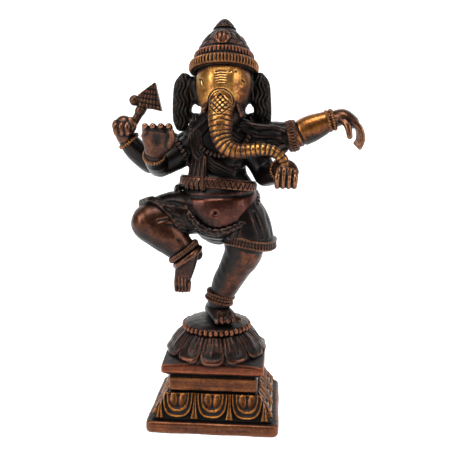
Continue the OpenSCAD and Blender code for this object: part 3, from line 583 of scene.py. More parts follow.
def trimmed(shape, at, way):
    """Flattens whatever lies behind a plane onto it."""
    points, faces = shape
    way = np.array(way, float) / np.linalg.norm(way)
    behind = np.minimum((points - np.array(at)) @ way, 0)
    return points - behind[:, None] * way, faces


def calmed(points, squares, rounds, pull=0.5):
    """Smooths the points towards their neighbours."""
    a, b = squares.ravel(), np.roll(squares, -1, axis=1).ravel()
    n = len(points)
    count = np.bincount(a, minlength=n) + np.bincount(b, minlength=n)
    for _ in range(rounds):
        total = np.stack([np.bincount(a, points[b, k], n) + np.bincount(b, points[a, k], n)
                          for k in range(3)], 1)
        points = points + (total / count[:, None] - points) * pull
    return points


def fused(shapes, grain, rounds=2):
    """Presses shapes into one even skin of small squares."""
    points, faces, start = [], [], 0
    for p, f in shapes:
        points += p.tolist()
        faces += [[k + start for k in g] for g in f]
        start += len(p)
    mesh = bpy.data.meshes.new("wax")
    mesh.from_pydata(points, [], faces)
    lump = bpy.data.objects.new("wax", mesh)
    bpy.context.scene.collection.objects.link(lump)
    skin = lump.modifiers.new("skin", "REMESH")
    skin.mode = "VOXEL"
    skin.voxel_size = grain
    made = lump.evaluated_get(bpy.context.evaluated_depsgraph_get()).to_mesh()
    points = np.empty(len(made.vertices) * 3)
    made.vertices.foreach_get("co", points)
    points = points.reshape(-1, 3)
    squares = np.empty(len(made.loops), int)
    made.loops.foreach_get("vertex_index", squares)
    squares = squares.reshape(-1, 4)
    bpy.data.objects.remove(lump)
    bpy.data.meshes.remove(mesh)
    return calmed(points, squares, rounds), squares


def off_line(points, path, axes=(0, 1, 2)):
    """Distance of each point from a path, measured in the chosen axes only."""
    p = points[:, axes]
    path = np.array(path, float)
    best = np.full(len(p), 1e9)
    for a, b in zip(path, path[1:]):
        t = np.clip((p - a) @ (b - a) / max((b - a) @ (b - a), 1e-9), 0, 1)
        best = np.minimum(best, np.linalg.norm(p - a - t[:, None] * (b - a), axis=1))
    return best


def facing_front(points, squares):
    return np.clip(-outward(points, squares)[:, 1] / 0.3, 0, 1)


def cut_front(points, squares, path, width, depth):
    """A groove cut from the front, along a path of x and height."""
    groove = ridge(off_line(points, path, (0, 2)), width) * facing_front(points, squares)
    return points - outward(points, squares) * (groove * depth)[:, None]


def stand(name, points, faces, finish, slot, *nodes):
    """Places a piece that is given in the figure's own frame, with the sole at zero."""
    return place(name, points + np.array([0, 0, sole]), faces, finish, slot, *nodes)


def ring_band(at, way, r, wire, notches=0, depth=0.2, flat=1.0, around=220, sides=16):
    """A ring of wire whose hole points along way, notched all round. flat widens it that way."""
    way = np.array(way, float) / np.linalg.norm(way)
    u = np.cross(way, [0.1, 0.9, 0.3])
    u /= np.linalg.norm(u)
    v = np.cross(way, u)
    turn = np.arange(around) / around * 2 * np.pi
    face = np.arange(sides) / sides * 2 * np.pi
    size = (wire * (1 - depth * (0.5 + 0.5 * np.cos(turn * notches)) ** 2) if notches
            else np.full(around, wire))
    out = np.cos(turn)[:, None] * u + np.sin(turn)[:, None] * v
    ring = (np.array(at) + out[:, None] * (r + size[:, None] * np.cos(face))[..., None]
            + way * (size[:, None] * np.sin(face) * flat)[..., None])
    return ring.reshape(-1, 3), between(around, sides, closed=True)[:, ::-1]


toes = []
for i in range(5):
    toes.append(limb([[1.2 + 2.2 * i, -8.8 - 0.2 * i, 1.9, 1.35 - 0.07 * i, 1.6],
                      [1.4 + 2.45 * i, -12.8 + 0.17 * i * i, 1.5, 1.25 - 0.07 * i, 1.35]],
                     front=(0, 0, 1)))
points, squares = fused([
    limb([[-2.2, 2.6, 2.8, 3.6, 3.4], [0, -2, 4, 5, 4.8], [3.6, -7, 2.6, 5.6, 3.6],
          [5.4, -10, 1.8, 5.6, 2.2]], (0, 0, 1)),
    limb([[1.6, -3.2, 9, 5.3, 5.3], [0.8, -2, 4.5, 5, 5]])] + toes, 0.24, 2)
for i in range(4):
    points = cut_front(points, squares, [[2.4 + 2.3 * i, 0.4], [2.3 + 2.1 * i, 4.6]], 0.32, 0.35)
for i in range(5):
    nail = [1.4 + 2.45 * i, -13.9 + 0.17 * i * i, 2.6]
    dent = 0.3 * ridge(off_line(points, [nail, nail]), 0.75)
    points = points - outward(points, squares) * dent[:, None]
points[:, 2] = np.maximum(points[:, 2], -0.2)
foot_copper = patina("foot copper", tint(14, 10, 10), tint(50, 31, 25), tint(98, 61, 45),
                     tint(172, 122, 92), lift=0.0, gloss=0.32)
# painted shade: the standing foot is darkened on its inner side, towards the back
painted_shade_way["foot_on_the_disc"] = (-0.9, 0.4, 0)
stand("foot_on_the_disc", points, squares, foot_copper, "brown_skin", "standing_foot")

ankle, ankle_way = np.array([1.9, -3.2, 10.2]), np.array([0.3, 0, 1])
points, squares = together([
    ring_band(ankle - 1.4 * ankle_way, ankle_way, 5.8, 0.9, 34, 0.35),
    ring_band(ankle + 1.4 * ankle_way, ankle_way, 5.8, 0.9, 34, 0.35),
    ring_band(ankle, ankle_way, 5.5, 0.8, 26, 0.45, flat=1.5)])
anklet_brown = patina("anklet brown", tint(13, 10, 9), tint(44, 28, 22), tint(98, 62, 44),
                      tint(168, 116, 82), lift=0.0, gloss=0.32)
stand("anklet_on_the_disc_side", points, squares, anklet_brown, "brown_ornament", "standing_anklet")

points, squares = fused([limb([
    [2.0, -3.2, 9.5, 5.2, 5.2], [4.4, -4, 16, 6.2, 6.2], [9.2, -6, 25, 7.2, 7.2],
    [12.9, -7.6, 33.5, 8.7, 8.2], [12, -5.5, 45, 9.5, 9]])], 0.42, 2)
points = points + outward(points, squares) * wobble(points, 0.2, 3)[:, None]
leg_copper = patina("leg copper", tint(16, 11, 10), tint(62, 36, 26), tint(106, 65, 45),
                    tint(184, 130, 92), lift=0.08, gloss=0.32, pitted=0.35)
# painted shade: the standing leg is darkened on its inner side
painted_shade_way["leg_on_the_disc"] = (-1.6, 0, 0)
stand("leg_on_the_disc", points, squares, leg_copper, "brown_skin", "standing_leg")

# ---- Raised leg ----
# The figure's right leg, lifted and folded so that the foot points down across the body. The knee
# and shin are rubbed bright, a deep crease runs behind the knee, and two wire rings hold the ankle.
knee = [-27.2, -14, 45.4, 8.1, 8.1]
points, squares = fused([
    limb([[-5, -6, 48, 8.4, 8.6], [-16, -10, 48.2, 8.8, 8.8], [-27.2, -14, 45.6, 8.1, 8.1]]),
    limb([knee, [-19.4, -14.4, 39.6, 7.7, 7.4], [-13.2, -14.2, 33.8, 5.9, 5.6]])], 0.42, 5)
points = cut_front(points, squares, [[-22.4, 47.4], [-18, 48.2], [-13, 46.4], [-9, 43]], 0.6, 0.7)
points = cut_front(points, squares, [[-14.6, 39.6], [-14.2, 39.0]], 0.45, 0.5)
points = points + outward(points, squares) * wobble(points, 0.2, 5)[:, None]
# painted shade: the raised leg is darkened underneath and a little on its outer side
painted_shade_way["raised_leg_and_knee"] = (-0.3, 0, -0.8)
stand("raised_leg_and_knee", points, squares, leg_copper, "brown_skin", "raised_leg")

points, squares = together([
    ring_band([-11.0, -14.2, 30.8], [0.6, 0, -0.8], 6.4, 1.25, 0, flat=1.1),
    ring_band([-12.8, -14.2, 33.2], [0.6, 0, -0.8], 6.4, 1.3, 44, 0.3, flat=1.1)])
stand("anklet_on_the_raised_side", points, squares, anklet_brown, "brown_ornament", "raised_anklet")

toes = []
for i in range(5):
    toes.append(limb([[-15.9 + 1.45 * i, -16.2 - 0.1 * i, 20, 0.95, 1.5],
                      [-15.7 + 1.35 * i, -17, 16.6 - 0.3 * i + 0.08 * i * i, 0.85, 1.1]]))
points, squares = fused([
    limb([[-11, -13.6, 32.5, 5, 5.2], [-12.2, -14.6, 26, 4.3, 4.2], [-13.5, -16, 20, 3.4, 2.7]]),
    limb([[-9.6, -12.6, 34, 4, 4.2], [-7.6, -11.2, 31.4, 2.8, 3.2]])] + toes, 0.26, 2)
for i in range(4):
    points = cut_front(points, squares, [[-15.2 + 1.45 * i, 22.5], [-15 + 1.4 * i, 15.4]],
                       0.26, 0.4)
stand("raised_foot_and_toes", points, squares, foot_copper, "brown_skin", "raised_foot")

# ---- Cloth round the hips ----
# A short dhoti, black in its folds, over both thighs. On the standing side it ends in a flaring
# hem with upright pleats, and over the raised thigh in a braided border. The cloth is modelled
# in the wax.
thigh_cut = np.array([-14.5, -20, 44.5])
thigh_way = np.array([315, 331, 261.0])
thigh_way /= np.linalg.norm(thigh_way)
border_w = 3.2
hem_at = np.array([15.2, -5.2, 37])
hem_lean = np.radians(7)
hem_way = np.array([np.sin(hem_lean), 0, np.cos(hem_lean)])


def thigh_cover(grow):
    return limb([[-3, -4.5, 48.8, 9.2 + grow, 9.9 + grow],
                 [-16, -9.8, 48.9, 9.7 + grow, 9.7 + grow],
                 [-28, -13.6, 46.2, 8.8 + grow, 8.8 + grow]])


points, squares = fused([
    limb([[0.6, -4, 43.2, 9.6, 8], [0.4, -3.5, 44.4, 13, 12], [0.8, -2.5, 47, 17.4, 16.2],
          [0.8, -1, 51, 17.4, 16], [0.8, 0.8, 55.5, 16.2, 13.6]]),
    trimmed(limb([[8.6, -2.6, 50, 11.2, 12.8], [12.8, -4.6, 43, 11.6, 12.4],
                  [15, -5.2, 37, 11, 12]]), hem_at, hem_way),
    trimmed(thigh_cover(0), thigh_cut + 0.5 * border_w * thigh_way, thigh_way)], 0.42, 4)
for path in ([[-6, 44], [-1, 39.6], [3, 37]], [[-3, 45], [1, 41], [5, 38.6]],
             [[8, 43], [5, 40], [4.4, 37]], [[-24, 54.5], [-16, 55], [-8, 52]],
             [[22, 52], [23.5, 46], [25, 40]], [[17, 50], [19, 45], [21, 40]],
             [[11, 44], [10, 41], [8.6, 38]]):
    points = cut_front(points, squares, path, 0.7, 0.55)
points = points + outward(points, squares) * wobble(points, 0.3, 7)[:, None]
cloth_black = patina("cloth black", tint(12, 10, 10), tint(30, 22, 20), tint(78, 50, 38),
                     tint(150, 104, 78), lift=0.0, gloss=0.3, pitted=0.8)
stand("hip_cloth", points, squares, cloth_black, "black_cloth", "dhoti")

around, across = 420, 22
turn = np.arange(around) / around * 2 * np.pi
section = np.array([(10.4, -2.2), (11.9, -2.1), (12.3, -1.6), (12.0, -1.0), (11.9, 0), (11.75, 1.0),
                    (12.0, 1.6), (11.7, 2.1), (10.4, 2.2)])
section = spread(section, across)
pleat = 0.36 * (0.5 + 0.5 * np.cos(turn * 52)) ** 2
middle = np.exp(-(section[:, 1] / 1.5) ** 4)
radius = section[None, :, 0] - pleat[:, None] * middle[None, :]
points = np.stack([radius * np.cos(turn)[:, None], 1.06 * radius * np.sin(turn)[:, None],
                   np.repeat(section[None, :, 1], around, 0)], -1).reshape(-1, 3)
points[:, 2] += 0.35 * np.sin(3 * np.arctan2(points[:, 1], points[:, 0]) + 1)
here, following = np.arange(around) * across, (np.arange(around) + 1) % around * across
inside = np.stack([here + across - 1, following + across - 1, following, here], 1)
squares = np.vstack([between(around, across, closed=True), inside])[:, ::-1]
points = points @ np.array([[np.cos(hem_lean), 0, -np.sin(hem_lean)], [0, 1, 0],
                            [np.sin(hem_lean), 0, np.cos(hem_lean)]]) + hem_at
hem_brown = patina("hem brown", tint(14, 10, 10), tint(58, 35, 27), tint(104, 66, 46),
                   tint(172, 122, 88), lift=0.04, gloss=0.32)
stand("hem_of_the_standing_side", points, squares, hem_brown, "brown_ornament", "standing_hem")

points, squares = fused([trimmed(trimmed(thigh_cover(0.9), thigh_cut, thigh_way),
                                 thigh_cut + border_w * thigh_way, -thigh_way)], 0.27, 2)
along = (points - thigh_cut) @ thigh_way / border_w
round_thigh = np.arctan2(points[:, 2] - 48.4, -points[:, 1] - 10)
braid = np.sin(round_thigh * 26 + np.abs(along - 0.5) * 9)
points = points + outward(points, squares) * (
    0.16 * braid * np.clip(1.3 - 2 * np.abs(along - 0.5), 0, 1))[:, None]
stand("border_over_the_raised_thigh", points, squares, cloth_black, "black_cloth", "raised_hem")

# ---- Waist cord ----
# A twisted cord of two strands, black, tied round the hips and hanging low under the belly.
# It is rolled in the wax and laid over the cloth, and its two ends meet behind the hips.
dark_cloth = patina("dark cloth", tint(13, 11, 11), tint(32, 25, 24), tint(74, 52, 44),
                    tint(150, 108, 84), lift=-0.02, gloss=0.28, pitted=0.6)
cord = curve([
    [1.3, 12.7, 58.2], [10, 11.2, 58], [16, 5.6, 57.2], [18, -3, 55], [17.4, -9.4, 51.4],
    [14.2, -14, 47], [8, -17, 43.8], [0.8, -17.8, 42.4], [-5.6, -18.2, 45], [-10.6, -16.4, 50.8],
    [-14, -12.4, 56], [-16.2, -6, 59], [-15.6, 2, 59.4], [-12, 8.5, 59], [-5, 12.2, 58.4],
    [0.7, 12.7, 58.2]], 26)
way = np.gradient(cord, axis=0)
run = np.concatenate([[0], np.cumsum(np.linalg.norm(np.diff(cord, axis=0), axis=1))])
way /= np.linalg.norm(way, axis=1, keepdims=True)
u = np.cross([0, 0, 1.0], way)
u /= np.linalg.norm(u, axis=1, keepdims=True)
v = np.cross(way, u)
sides = 26
face = np.arange(sides) / sides * 2 * np.pi
strand = 1.8 * (0.84 + 0.16 * np.abs(np.cos(face[None, :] - run[:, None] * 1.1))
                - 0.04 * np.cos(run[:, None] * 3.3))
points = (cord[:, None] + u[:, None] * (strand * np.cos(face))[..., None]
          + v[:, None] * (strand * np.sin(face))[..., None]).reshape(-1, 3)
faces = list(between(len(cord), sides)) + [list(range(sides))[::-1],
                                           list(range((len(cord) - 1) * sides, len(cord) * sides))]
stand("cord_round_the_hips", points, faces, dark_cloth, "black_cloth", "waist_cord")

# ---- Torso ----
# The round belly is rubbed to smooth red copper, with a small deep navel, and the chest above it
# stays black. One solid casting with the limbs.
points, squares = fused([limb([
    [1, -1, 42, 9, 8.4], [1.2, -3.2, 46, 15.6, 13.8], [1.4, -4, 52, 17.4, 15.2],
    [1.4, -3, 58.5, 16, 13.2], [0.8, -1.5, 64.5, 13.2, 11], [0.6, -0.5, 70.5, 12.8, 10],
    [1.2, 0, 76.5, 14.6, 10], [1.8, 0, 81.5, 16, 9.4],
    [2.8, -0.5, 86, 12, 7.6]], sides=44)], 0.42, 2)
navel = np.hypot(points[:, 0] - 1.3, points[:, 2] - 50.5)
dent = (0.08 * ridge(navel - 1.9, 0.7) - 1.6 * ridge(navel, 0.75)) * facing_front(points, squares)
points = points + outward(points, squares) * dent[:, None]
for path in ([[-9, 73], [-4, 70.4], [3, 69], [10, 70]],
             [[-8, 69.6], [-2, 67.2], [6, 66.4], [13, 68]], [[-6, 77], [2, 73], [12, 74]],
             [[-12.5, 56.6], [-4, 57], [6, 57.4], [16, 57.8]]):
    points = cut_front(points, squares, path, 0.8, 0.6)
points = points + outward(points, squares) * wobble(points, 0.15, 9)[:, None]
torso_copper = patina("torso copper", tint(14, 10, 10), tint(66, 36, 29), tint(100, 57, 44),
                      tint(172, 114, 88), lift=0.1, gloss=0.32, pitted=0.35,
                      fade=(sole + 56, sole + 61, -0.34))
# painted shade: the belly and chest are darkened on the side towards the raised leg and underneath
painted_shade_way["belly_and_chest"] = (-0.7, 0, -0.5)
stand("belly_and_chest", points, squares, torso_copper, "blackened_brass", "torso")

# ---- Belly band ----
# A flat belt over the belly, dull copper, with a zigzag cut into it between two plain edges.
# It is a strip of wax bent round the torso and tipped a little with it.
around, across = 640, 30
turn = np.arange(around) / around * 2 * np.pi - np.pi / 2
face = np.linspace(-1, 1, across)
zig = np.abs(turn * 42 / (2 * np.pi) % 1 * 2 - 1) * 1.1 - 0.55
cut = (0.5 * ridge(face[None, :] - zig[:, None], 0.17)
       + 0.45 * ridge(np.abs(face)[None, :] - 0.78, 0.08))
stand_out = 1.45 * np.sqrt(1 - 0.75 * face[None, :] ** 6) - cut * (np.abs(face)[None, :] < 0.93)
belt_rx, belt_ry, belt_half, belt_sunk = 15.6, 13.2, 2.6, 1.2
rx, ry = belt_rx + stand_out, belt_ry + stand_out
front_side = np.stack([rx * np.cos(turn)[:, None], ry * np.sin(turn)[:, None],
                       np.repeat(belt_half * face[None, :], around, 0)], -1)
inner = np.stack([(belt_rx - belt_sunk) * np.cos(turn)[:, None] * np.ones((1, 2)),
                  (belt_ry - belt_sunk) * np.sin(turn)[:, None] * np.ones((1, 2)),
                  np.repeat(np.array([[belt_half, -belt_half]]), around, 0)], -1)
points = np.concatenate([front_side, inner], 1).reshape(-1, 3)
wide = across + 2
i, j = np.meshgrid(np.arange(around), np.arange(wide), indexing="ij")
i, j = i.ravel(), j.ravel()
following, up = (i + 1) % around, (j + 1) % wide
squares = np.stack([i * wide + j, following * wide + j, following * wide + up, i * wide + up], 1)
tip, roll = np.radians(-6), np.radians(5)
points = points @ np.array([[1, 0, 0], [0, np.cos(tip), np.sin(tip)],
                            [0, -np.sin(tip), np.cos(tip)]])
points = points @ np.array([[np.cos(roll), 0, -np.sin(roll)], [0, 1, 0],
                            [np.sin(roll), 0, np.cos(roll)]])
points = points + np.array([1.1, -2.2, 61.2])
band_copper = patina("band copper", tint(13, 10, 9), tint(52, 31, 24), tint(100, 62, 46),
                     tint(164, 112, 82), lift=0.05, gloss=0.33)
stand("belt_over_the_belly", points, squares, band_copper, "brown_ornament", "belly_band")

# ---- Sash, tassel, shoulder cloth and necklace ----
# Nearly black cloth across the chest, its loose ends hanging over the right hip, gathered folds
# over the left shoulder, and a string of small beads round the neck.
points, squares = fused([limb([
    [-3, -7, 88, 2.4, 2], [-8, -8.6, 82, 3, 1.9], [-6, -9.8, 75, 3.4, 1.9],
    [1, -10.8, 69, 3.6, 1.8], [8, -11, 65.5, 3.2, 1.6]])], 0.3, 2)
for shift in (-1.5, 0, 1.5):
    fold = [[-8 + shift, 84], [-6.4 + shift, 76 + shift * 0.3], [0, 69.6 + shift],
            [8, 65.8 + shift]]
    points = cut_front(points, squares, fold, 0.36, 0.45)
stand("sash_across_the_chest", points, squares, dark_cloth, "black_cloth", "chest_sash")

strands = []
for i in range(4):
    strands.append(limb([[-8.8 + 1.7 * i, -8.2 - 1.1 * i, 73, 1.1, 1.5],
                         [-9.6 + 1.9 * i, -9.8 - 1.3 * i, 67, 1.3, 1.6],
                         [-11 + 2.3 * i, -12 - 1.5 * i, 60.5, 1.2, 1.4]]))
points, squares = fused(strands, 0.27, 1)
for i in range(4):
    for shift in (-0.5, 0.5):
        points = cut_front(points, squares, [[-9.5 + 1.9 * i + shift, 70],
                                             [-11 + 2.3 * i + 1.3 * shift, 59.5]], 0.25, 0.35)
tassel_brown = patina("tassel brown", tint(13, 10, 9), tint(44, 30, 25), tint(90, 60, 46),
                      tint(150, 106, 80), lift=0.02, gloss=0.32)
stand("tassel_over_the_hip", points, squares, tassel_brown, "black_cloth", "sash_tassel")

folds = []
for f in range(4):
    folds.append(limb([[9 - f, -4.2 - f, 88.5 - 1.6 * f, 1.8, 2.4],
                       [17, -7 + f * 0.3, 86.1 - 3.2 * f, 1.9, 1.9],
                       [25, -7.6 + f * 0.6, 85 - 3.4 * f, 1.9, 1.7],
                       [30, -6.2 + f * 0.5, 83.6 - 2.4 * f, 1.5, 1.5]]))
points, squares = fused(folds, 0.3, 2)
for path in ([[12, 87.5], [18, 84.6], [25, 84.8], [30, 83]],
             [[11, 84.4], [17, 80.6], [24, 81], [29, 80]], [[14, 81], [20, 77.8], [27, 78.4]]):
    points = cut_front(points, squares, path, 0.5, 0.9)
stand("folds_over_the_shoulder", points, squares, dark_cloth, "black_cloth", "shoulder_folds")

string = curve([[-10.6, -3, 86], [-9, -8, 81], [-3.5, -11, 76], [3.5, -11.6, 74],
                [10.5, -10.6, 76.6], [14.6, -8.4, 82], [14.4, -4, 86]], 40)
run = np.concatenate([[0], np.cumsum(np.linalg.norm(np.diff(string, axis=0), axis=1))])
shapes = []
for s in np.arange(0.6, run[-1], 1.75):
    k = int(np.searchsorted(run, s))
    shapes.append(bead(string[k], string[min(k + 1, len(string) - 1)] - string[k - 1],
                       (0.9, 1.25), 16, 9))
points, squares = together(shapes)
stand("beads_round_the_neck", points, squares, dark_cloth, "black_cloth", "necklace")

# ---- Left arms ----
# The front left arm is black and bends up to offer a sweet under the trunk. The rear left arm
# stretches out: black above the elbow, then a bright gold forearm between ribbed rings, and a
# drooping hand.
arm_black = patina("arm black", tint(11, 10, 10), tint(25, 21, 20), tint(56, 42, 36),
                   tint(128, 98, 78), lift=0.02, gloss=0.28, pitted=0.7)
ring_gold = patina("ring gold", tint(16, 11, 9), tint(74, 44, 28), tint(142, 94, 54),
                   tint(214, 164, 108), lift=0.0, gloss=0.3)
points, squares = fused([
    limb([[12, 0, 79, 6, 6], [18.6, -2, 71.6, 5.5, 5.5], [21.8, -4.4, 65.6, 5.1, 5.1]]),
    limb([[21.9, -4.8, 65.5, 5.1, 5.1], [25.4, -11.5, 66.6, 4.3, 4.3],
          [27.6, -15.5, 68.1, 3.7, 3.7]], (0, 0, 1))], 0.4, 4)
points = points + outward(points, squares) * wobble(points, 0.15, 2)[:, None]
stand("arm_with_the_sweet", points, squares, arm_black, "blackened_brass", "sweet_arm")
points, squares = ring_band([28, -16.2, 68.4], [0.45, -0.85, 0.3], 3.9, 0.95, 26, 0.4)
stand("bracelet_by_the_sweet", points, squares, ring_gold, "polished_ornament", "sweet_bracelet")

fingers = []
for i in range(4):
    fingers.append(limb([[27.2 + 2.3 * i, -25, 69.2 - 0.5 * i, 1.25, 1.4],
                         [27 + 2.3 * i, -26.8, 66.2 - 0.3 * i, 1.25, 1.3],
                         [27 + 2.25 * i, -26, 62.9, 1.1, 1.2]]))
points, squares = fused([limb([
    [28.6, -18.4, 69, 3.6, 3.4], [30.2, -21.8, 69.8, 4.6, 3.6],
    [31, -24.6, 68.4, 4.8, 2.8]], (0, 0, 1))] + fingers, 0.25, 2)
for i in range(3):
    points = cut_front(points, squares, [[28.4 + 2.3 * i, 70.4 - 0.5 * i], [28.2 + 2.3 * i, 61.6]],
                       0.34, 0.55)
hand_gold = patina("hand gold", tint(13, 10, 9), tint(62, 40, 28), tint(128, 86, 60),
                   tint(212, 164, 120), lift=0.04, gloss=0.3)
stand("hand_with_the_sweet", points, squares, hand_gold, "polished_limb", "sweet_hand")
points, squares = bead([29.6, -23.2, 64.4], [0, 0, 1], (2.4, 2.4), 40, 24)
points = points + outward(points, squares) * wobble(points, 0.12, 1)[:, None]
stand("round_sweet", points, squares, hand_gold, "polished_limb", "sweet")

points, squares = fused(
    [limb([[10, 0, 80.5, 6.4, 6.6], [20, -1, 81.3, 6.8, 6.6], [31.6, -2, 82, 6.1, 6.1]])], 0.4, 2)
for path in ([[14, 79], [22, 77.6], [30, 79]], [[12, 76.6], [20, 75.8], [28, 77]]):
    points = cut_front(points, squares, path, 0.8, 0.7)
points = points + outward(points, squares) * wobble(points, 0.2, 4)[:, None]
stand("upper_part_of_the_stretched_arm", points, squares, arm_black, "blackened_brass",
      "stretched_arm")
elbow, elbow_way = np.array([33.1, -2.1, 82.1]), np.array([1, 0, 0.2]) / np.hypot(1, 0.2)
points, squares = together([
    ring_band(elbow - 1.25 * elbow_way, elbow_way, 5.7, 1.15, 36, 0.3),
    ring_band(elbow, elbow_way, 6.0, 1.0, 30, 0.5, flat=1.2),
    ring_band(elbow + 1.25 * elbow_way, elbow_way, 5.7, 1.1, 36, 0.3)])
stand("armlet_of_the_stretched_arm", points, squares, anklet_brown, "polished_ornament",
      "stretched_armlet")

points, squares = fused([limb([
    [33, -2.2, 82.1, 5.5, 5.6], [37, -2.6, 83.4, 5.8, 5.8], [42, -3, 85.7, 5.7, 5.7],
    [48.6, -3.7, 88.6, 4.3, 4.3]])], 0.35, 1)
axis_run = (points - np.array([36.6, -2.5, 83])) @ (np.array([12.5, -1.2, 5.6]) / 13.75)
points = points - outward(points, squares) * (0.6 * ridge(axis_run, 0.5))[:, None]
points = points + outward(points, squares) * wobble(points, 0.12, 5)[:, None]
forearm_gold = patina("forearm gold", tint(22, 13, 9), tint(104, 58, 28), tint(174, 112, 52),
                      tint(226, 178, 108), lift=0.12, gloss=0.3, pitted=0.35)
# painted shade: the underside of the gold forearm is darkened
painted_shade_way["forearm_of_the_stretched_arm"] = (0, 0, -1)
stand("forearm_of_the_stretched_arm", points, squares, forearm_gold, "polished_limb",
      "stretched_forearm")
wrist, wrist_way = np.array([49.1, -3.8, 88.7]), np.array([0.95, 0, 0.3]) / np.hypot(0.95, 0.3)
points, squares = together([
    ring_band(wrist - 0.95 * wrist_way, wrist_way, 3.9, 0.95, 26, 0.35),
    ring_band(wrist + 0.95 * wrist_way, wrist_way, 3.9, 0.95, 26, 0.35)])
stand("bracelet_of_the_stretched_arm", points, squares, ring_gold, "polished_ornament",
      "stretched_bracelet")

fingers = [limb([[53.4, -7.6, 89.2, 1.7, 1.5], [55.6, -10, 86.6, 1.5, 1.4],
                 [56.6, -10.6, 82.2, 1.2, 1.2]])]
for i in range(4):
    fingers.append(limb([[57.8, -9 + 2.3 * i, 88.2, 1.5, 1.2],
                         [60.8, -9.4 + 2.5 * i, 85.4, 1.3, 1.2],
                         [61.9 - 0.2 * i, -9.6 + 2.6 * i, 81, 1.2, 1.1],
                         [61 - 0.3 * i, -9.4 + 2.6 * i, 77.6 + 0.5 * i, 1.0, 1.0]]))
points, squares = fused([limb([
    [50.6, -4, 89.2, 3.6, 3.9], [54.2, -4.8, 90.1, 3.4, 4.6],
    [58, -5.6, 88, 2.8, 4.8]])] + fingers, 0.25, 2)
hand_brown = patina("hand brown", tint(14, 10, 9), tint(56, 34, 26), tint(108, 70, 50),
                    tint(184, 134, 100), lift=0.1, gloss=0.3)
stand("hand_of_the_stretched_arm", points, squares, hand_brown, "brown_skin", "stretched_hand")

# ---- Right arms ----
# The front right arm rises in blessing, the palm to the front and the fingertips curled over like
# beads. The rear right arm holds a small hatched axe. Both are black, with a studded ring each.
points, squares = fused([
    limb([[-8, -0.6, 79, 6.2, 6.2], [-16, -2.5, 73.6, 5.8, 5.8], [-23.9, -5.1, 69.5, 5.3, 5.3]]),
    limb([[-24.2, -5.4, 69.4, 5.3, 5.3], [-24.9, -10.6, 71.6, 4.7, 4.7],
          [-24.7, -14, 74, 4.1, 4.1]], (1, 0, 0))], 0.4, 4)
points = points + outward(points, squares) * wobble(points, 0.2, 6)[:, None]
stand("blessing_arm_and_elbow", points, squares, arm_black, "blackened_brass", "blessing_arm")
points, squares = ring_band([-14.4, -2, 74.8], [-0.8, -0.2, -0.5], 6.1, 1.2, 22, 0.5, flat=1.3)
stand("armlet_of_the_blessing_arm", points, squares, arm_black, "blackened_brass",
      "blessing_armlet")
points, squares = ring_band([-24.7, -14.4, 74.4], [0, -0.8, 0.6], 4.2, 0.95, 26, 0.4)
stand("bracelet_of_the_blessing_arm", points, squares, ring_gold, "polished_ornament",
      "blessing_bracelet")

fingers = [limb([[-17.6, -19.2, 79, 1.9, 1.7], [-15.9, -21, 82.2, 1.5, 1.5],
                 [-16.2, -22.4, 84.6, 1.2, 1.2]])]
for i in range(4):
    fingers.append(limb([[-27 + 3.25 * i, -19.4, 83.4, 1.55, 1.6],
                         [-26.8 + 3.25 * i, -21.2, 86, 1.5, 1.5],
                         [-26.6 + 3.25 * i, -23.4, 86.6, 1.25, 1.25]], (1, 0, 0)))
points, squares = fused([limb([
    [-24.2, -16.4, 76, 4.4, 3], [-22.6, -18.2, 80.4, 6.9, 3.2],
    [-22, -19.4, 84, 6.4, 2.6]])] + fingers, 0.26, 2)
palm = off_line(points, [[-22.6, -21.2, 80.6], [-22.4, -21.8, 81.2]])
points = points - outward(points, squares) * (0.9 * ridge(palm, 2.6))[:, None]
stand("blessing_palm_and_fingers", points, squares, hand_brown, "brown_skin", "blessing_hand")

points, squares = fused([
    limb([[-8, 3, 81, 6, 6], [-19, 4.8, 75.4, 5.7, 5.7], [-30, 4.4, 70.2, 5.3, 5.3]]),
    limb([[-30.4, 4.3, 70.2, 5.3, 5.3], [-35.8, 2.4, 75.2, 5.1, 5.1],
          [-39.2, 0.8, 79.8, 4.3, 4.3]])], 0.4, 4)
points = points + outward(points, squares) * wobble(points, 0.2, 8)[:, None]
stand("axe_arm_and_elbow", points, squares, arm_black, "blackened_brass", "axe_arm")
points, squares = ring_band([-16.4, 4.4, 76.6], [-0.85, 0.1, -0.42], 6, 1.1, 22, 0.4)
stand("armlet_of_the_axe_arm", points, squares, arm_black, "blackened_brass", "axe_armlet")
points, squares = ring_band([-39, 0.9, 79.6], [-0.58, -0.26, 0.78], 4.4, 0.95, 26, 0.4)
stand("bracelet_of_the_axe_arm", points, squares, ring_gold, "polished_ornament", "axe_bracelet")

fingers = [limb([[-38, -3, 83.4, 1.6, 1.6], [-35.8, -4, 86, 1.6, 1.6], [-37, -3.4, 89, 1.3, 1.3]])]
for i in range(3):
    fingers.append(limb([[-43.8 + 2.6 * i, -2.6, 87.6 + 0.2 * i, 1.4, 1.5],
                         [-43.4 + 2.6 * i, -5, 86.2, 1.35, 1.5],
                         [-43 + 2.6 * i, -5, 83.2, 1.2, 1.3]], (1, 0, 0)))
points, squares = fused([limb([
    [-40.2, 0.2, 81.6, 4.2, 4.2], [-41, -0.6, 85, 4.4, 4.4],
    [-40.4, -1.2, 87, 4, 3.8]])] + fingers, 0.26, 2)
stand("fist_on_the_axe", points, squares, hand_brown, "brown_skin", "axe_hand")

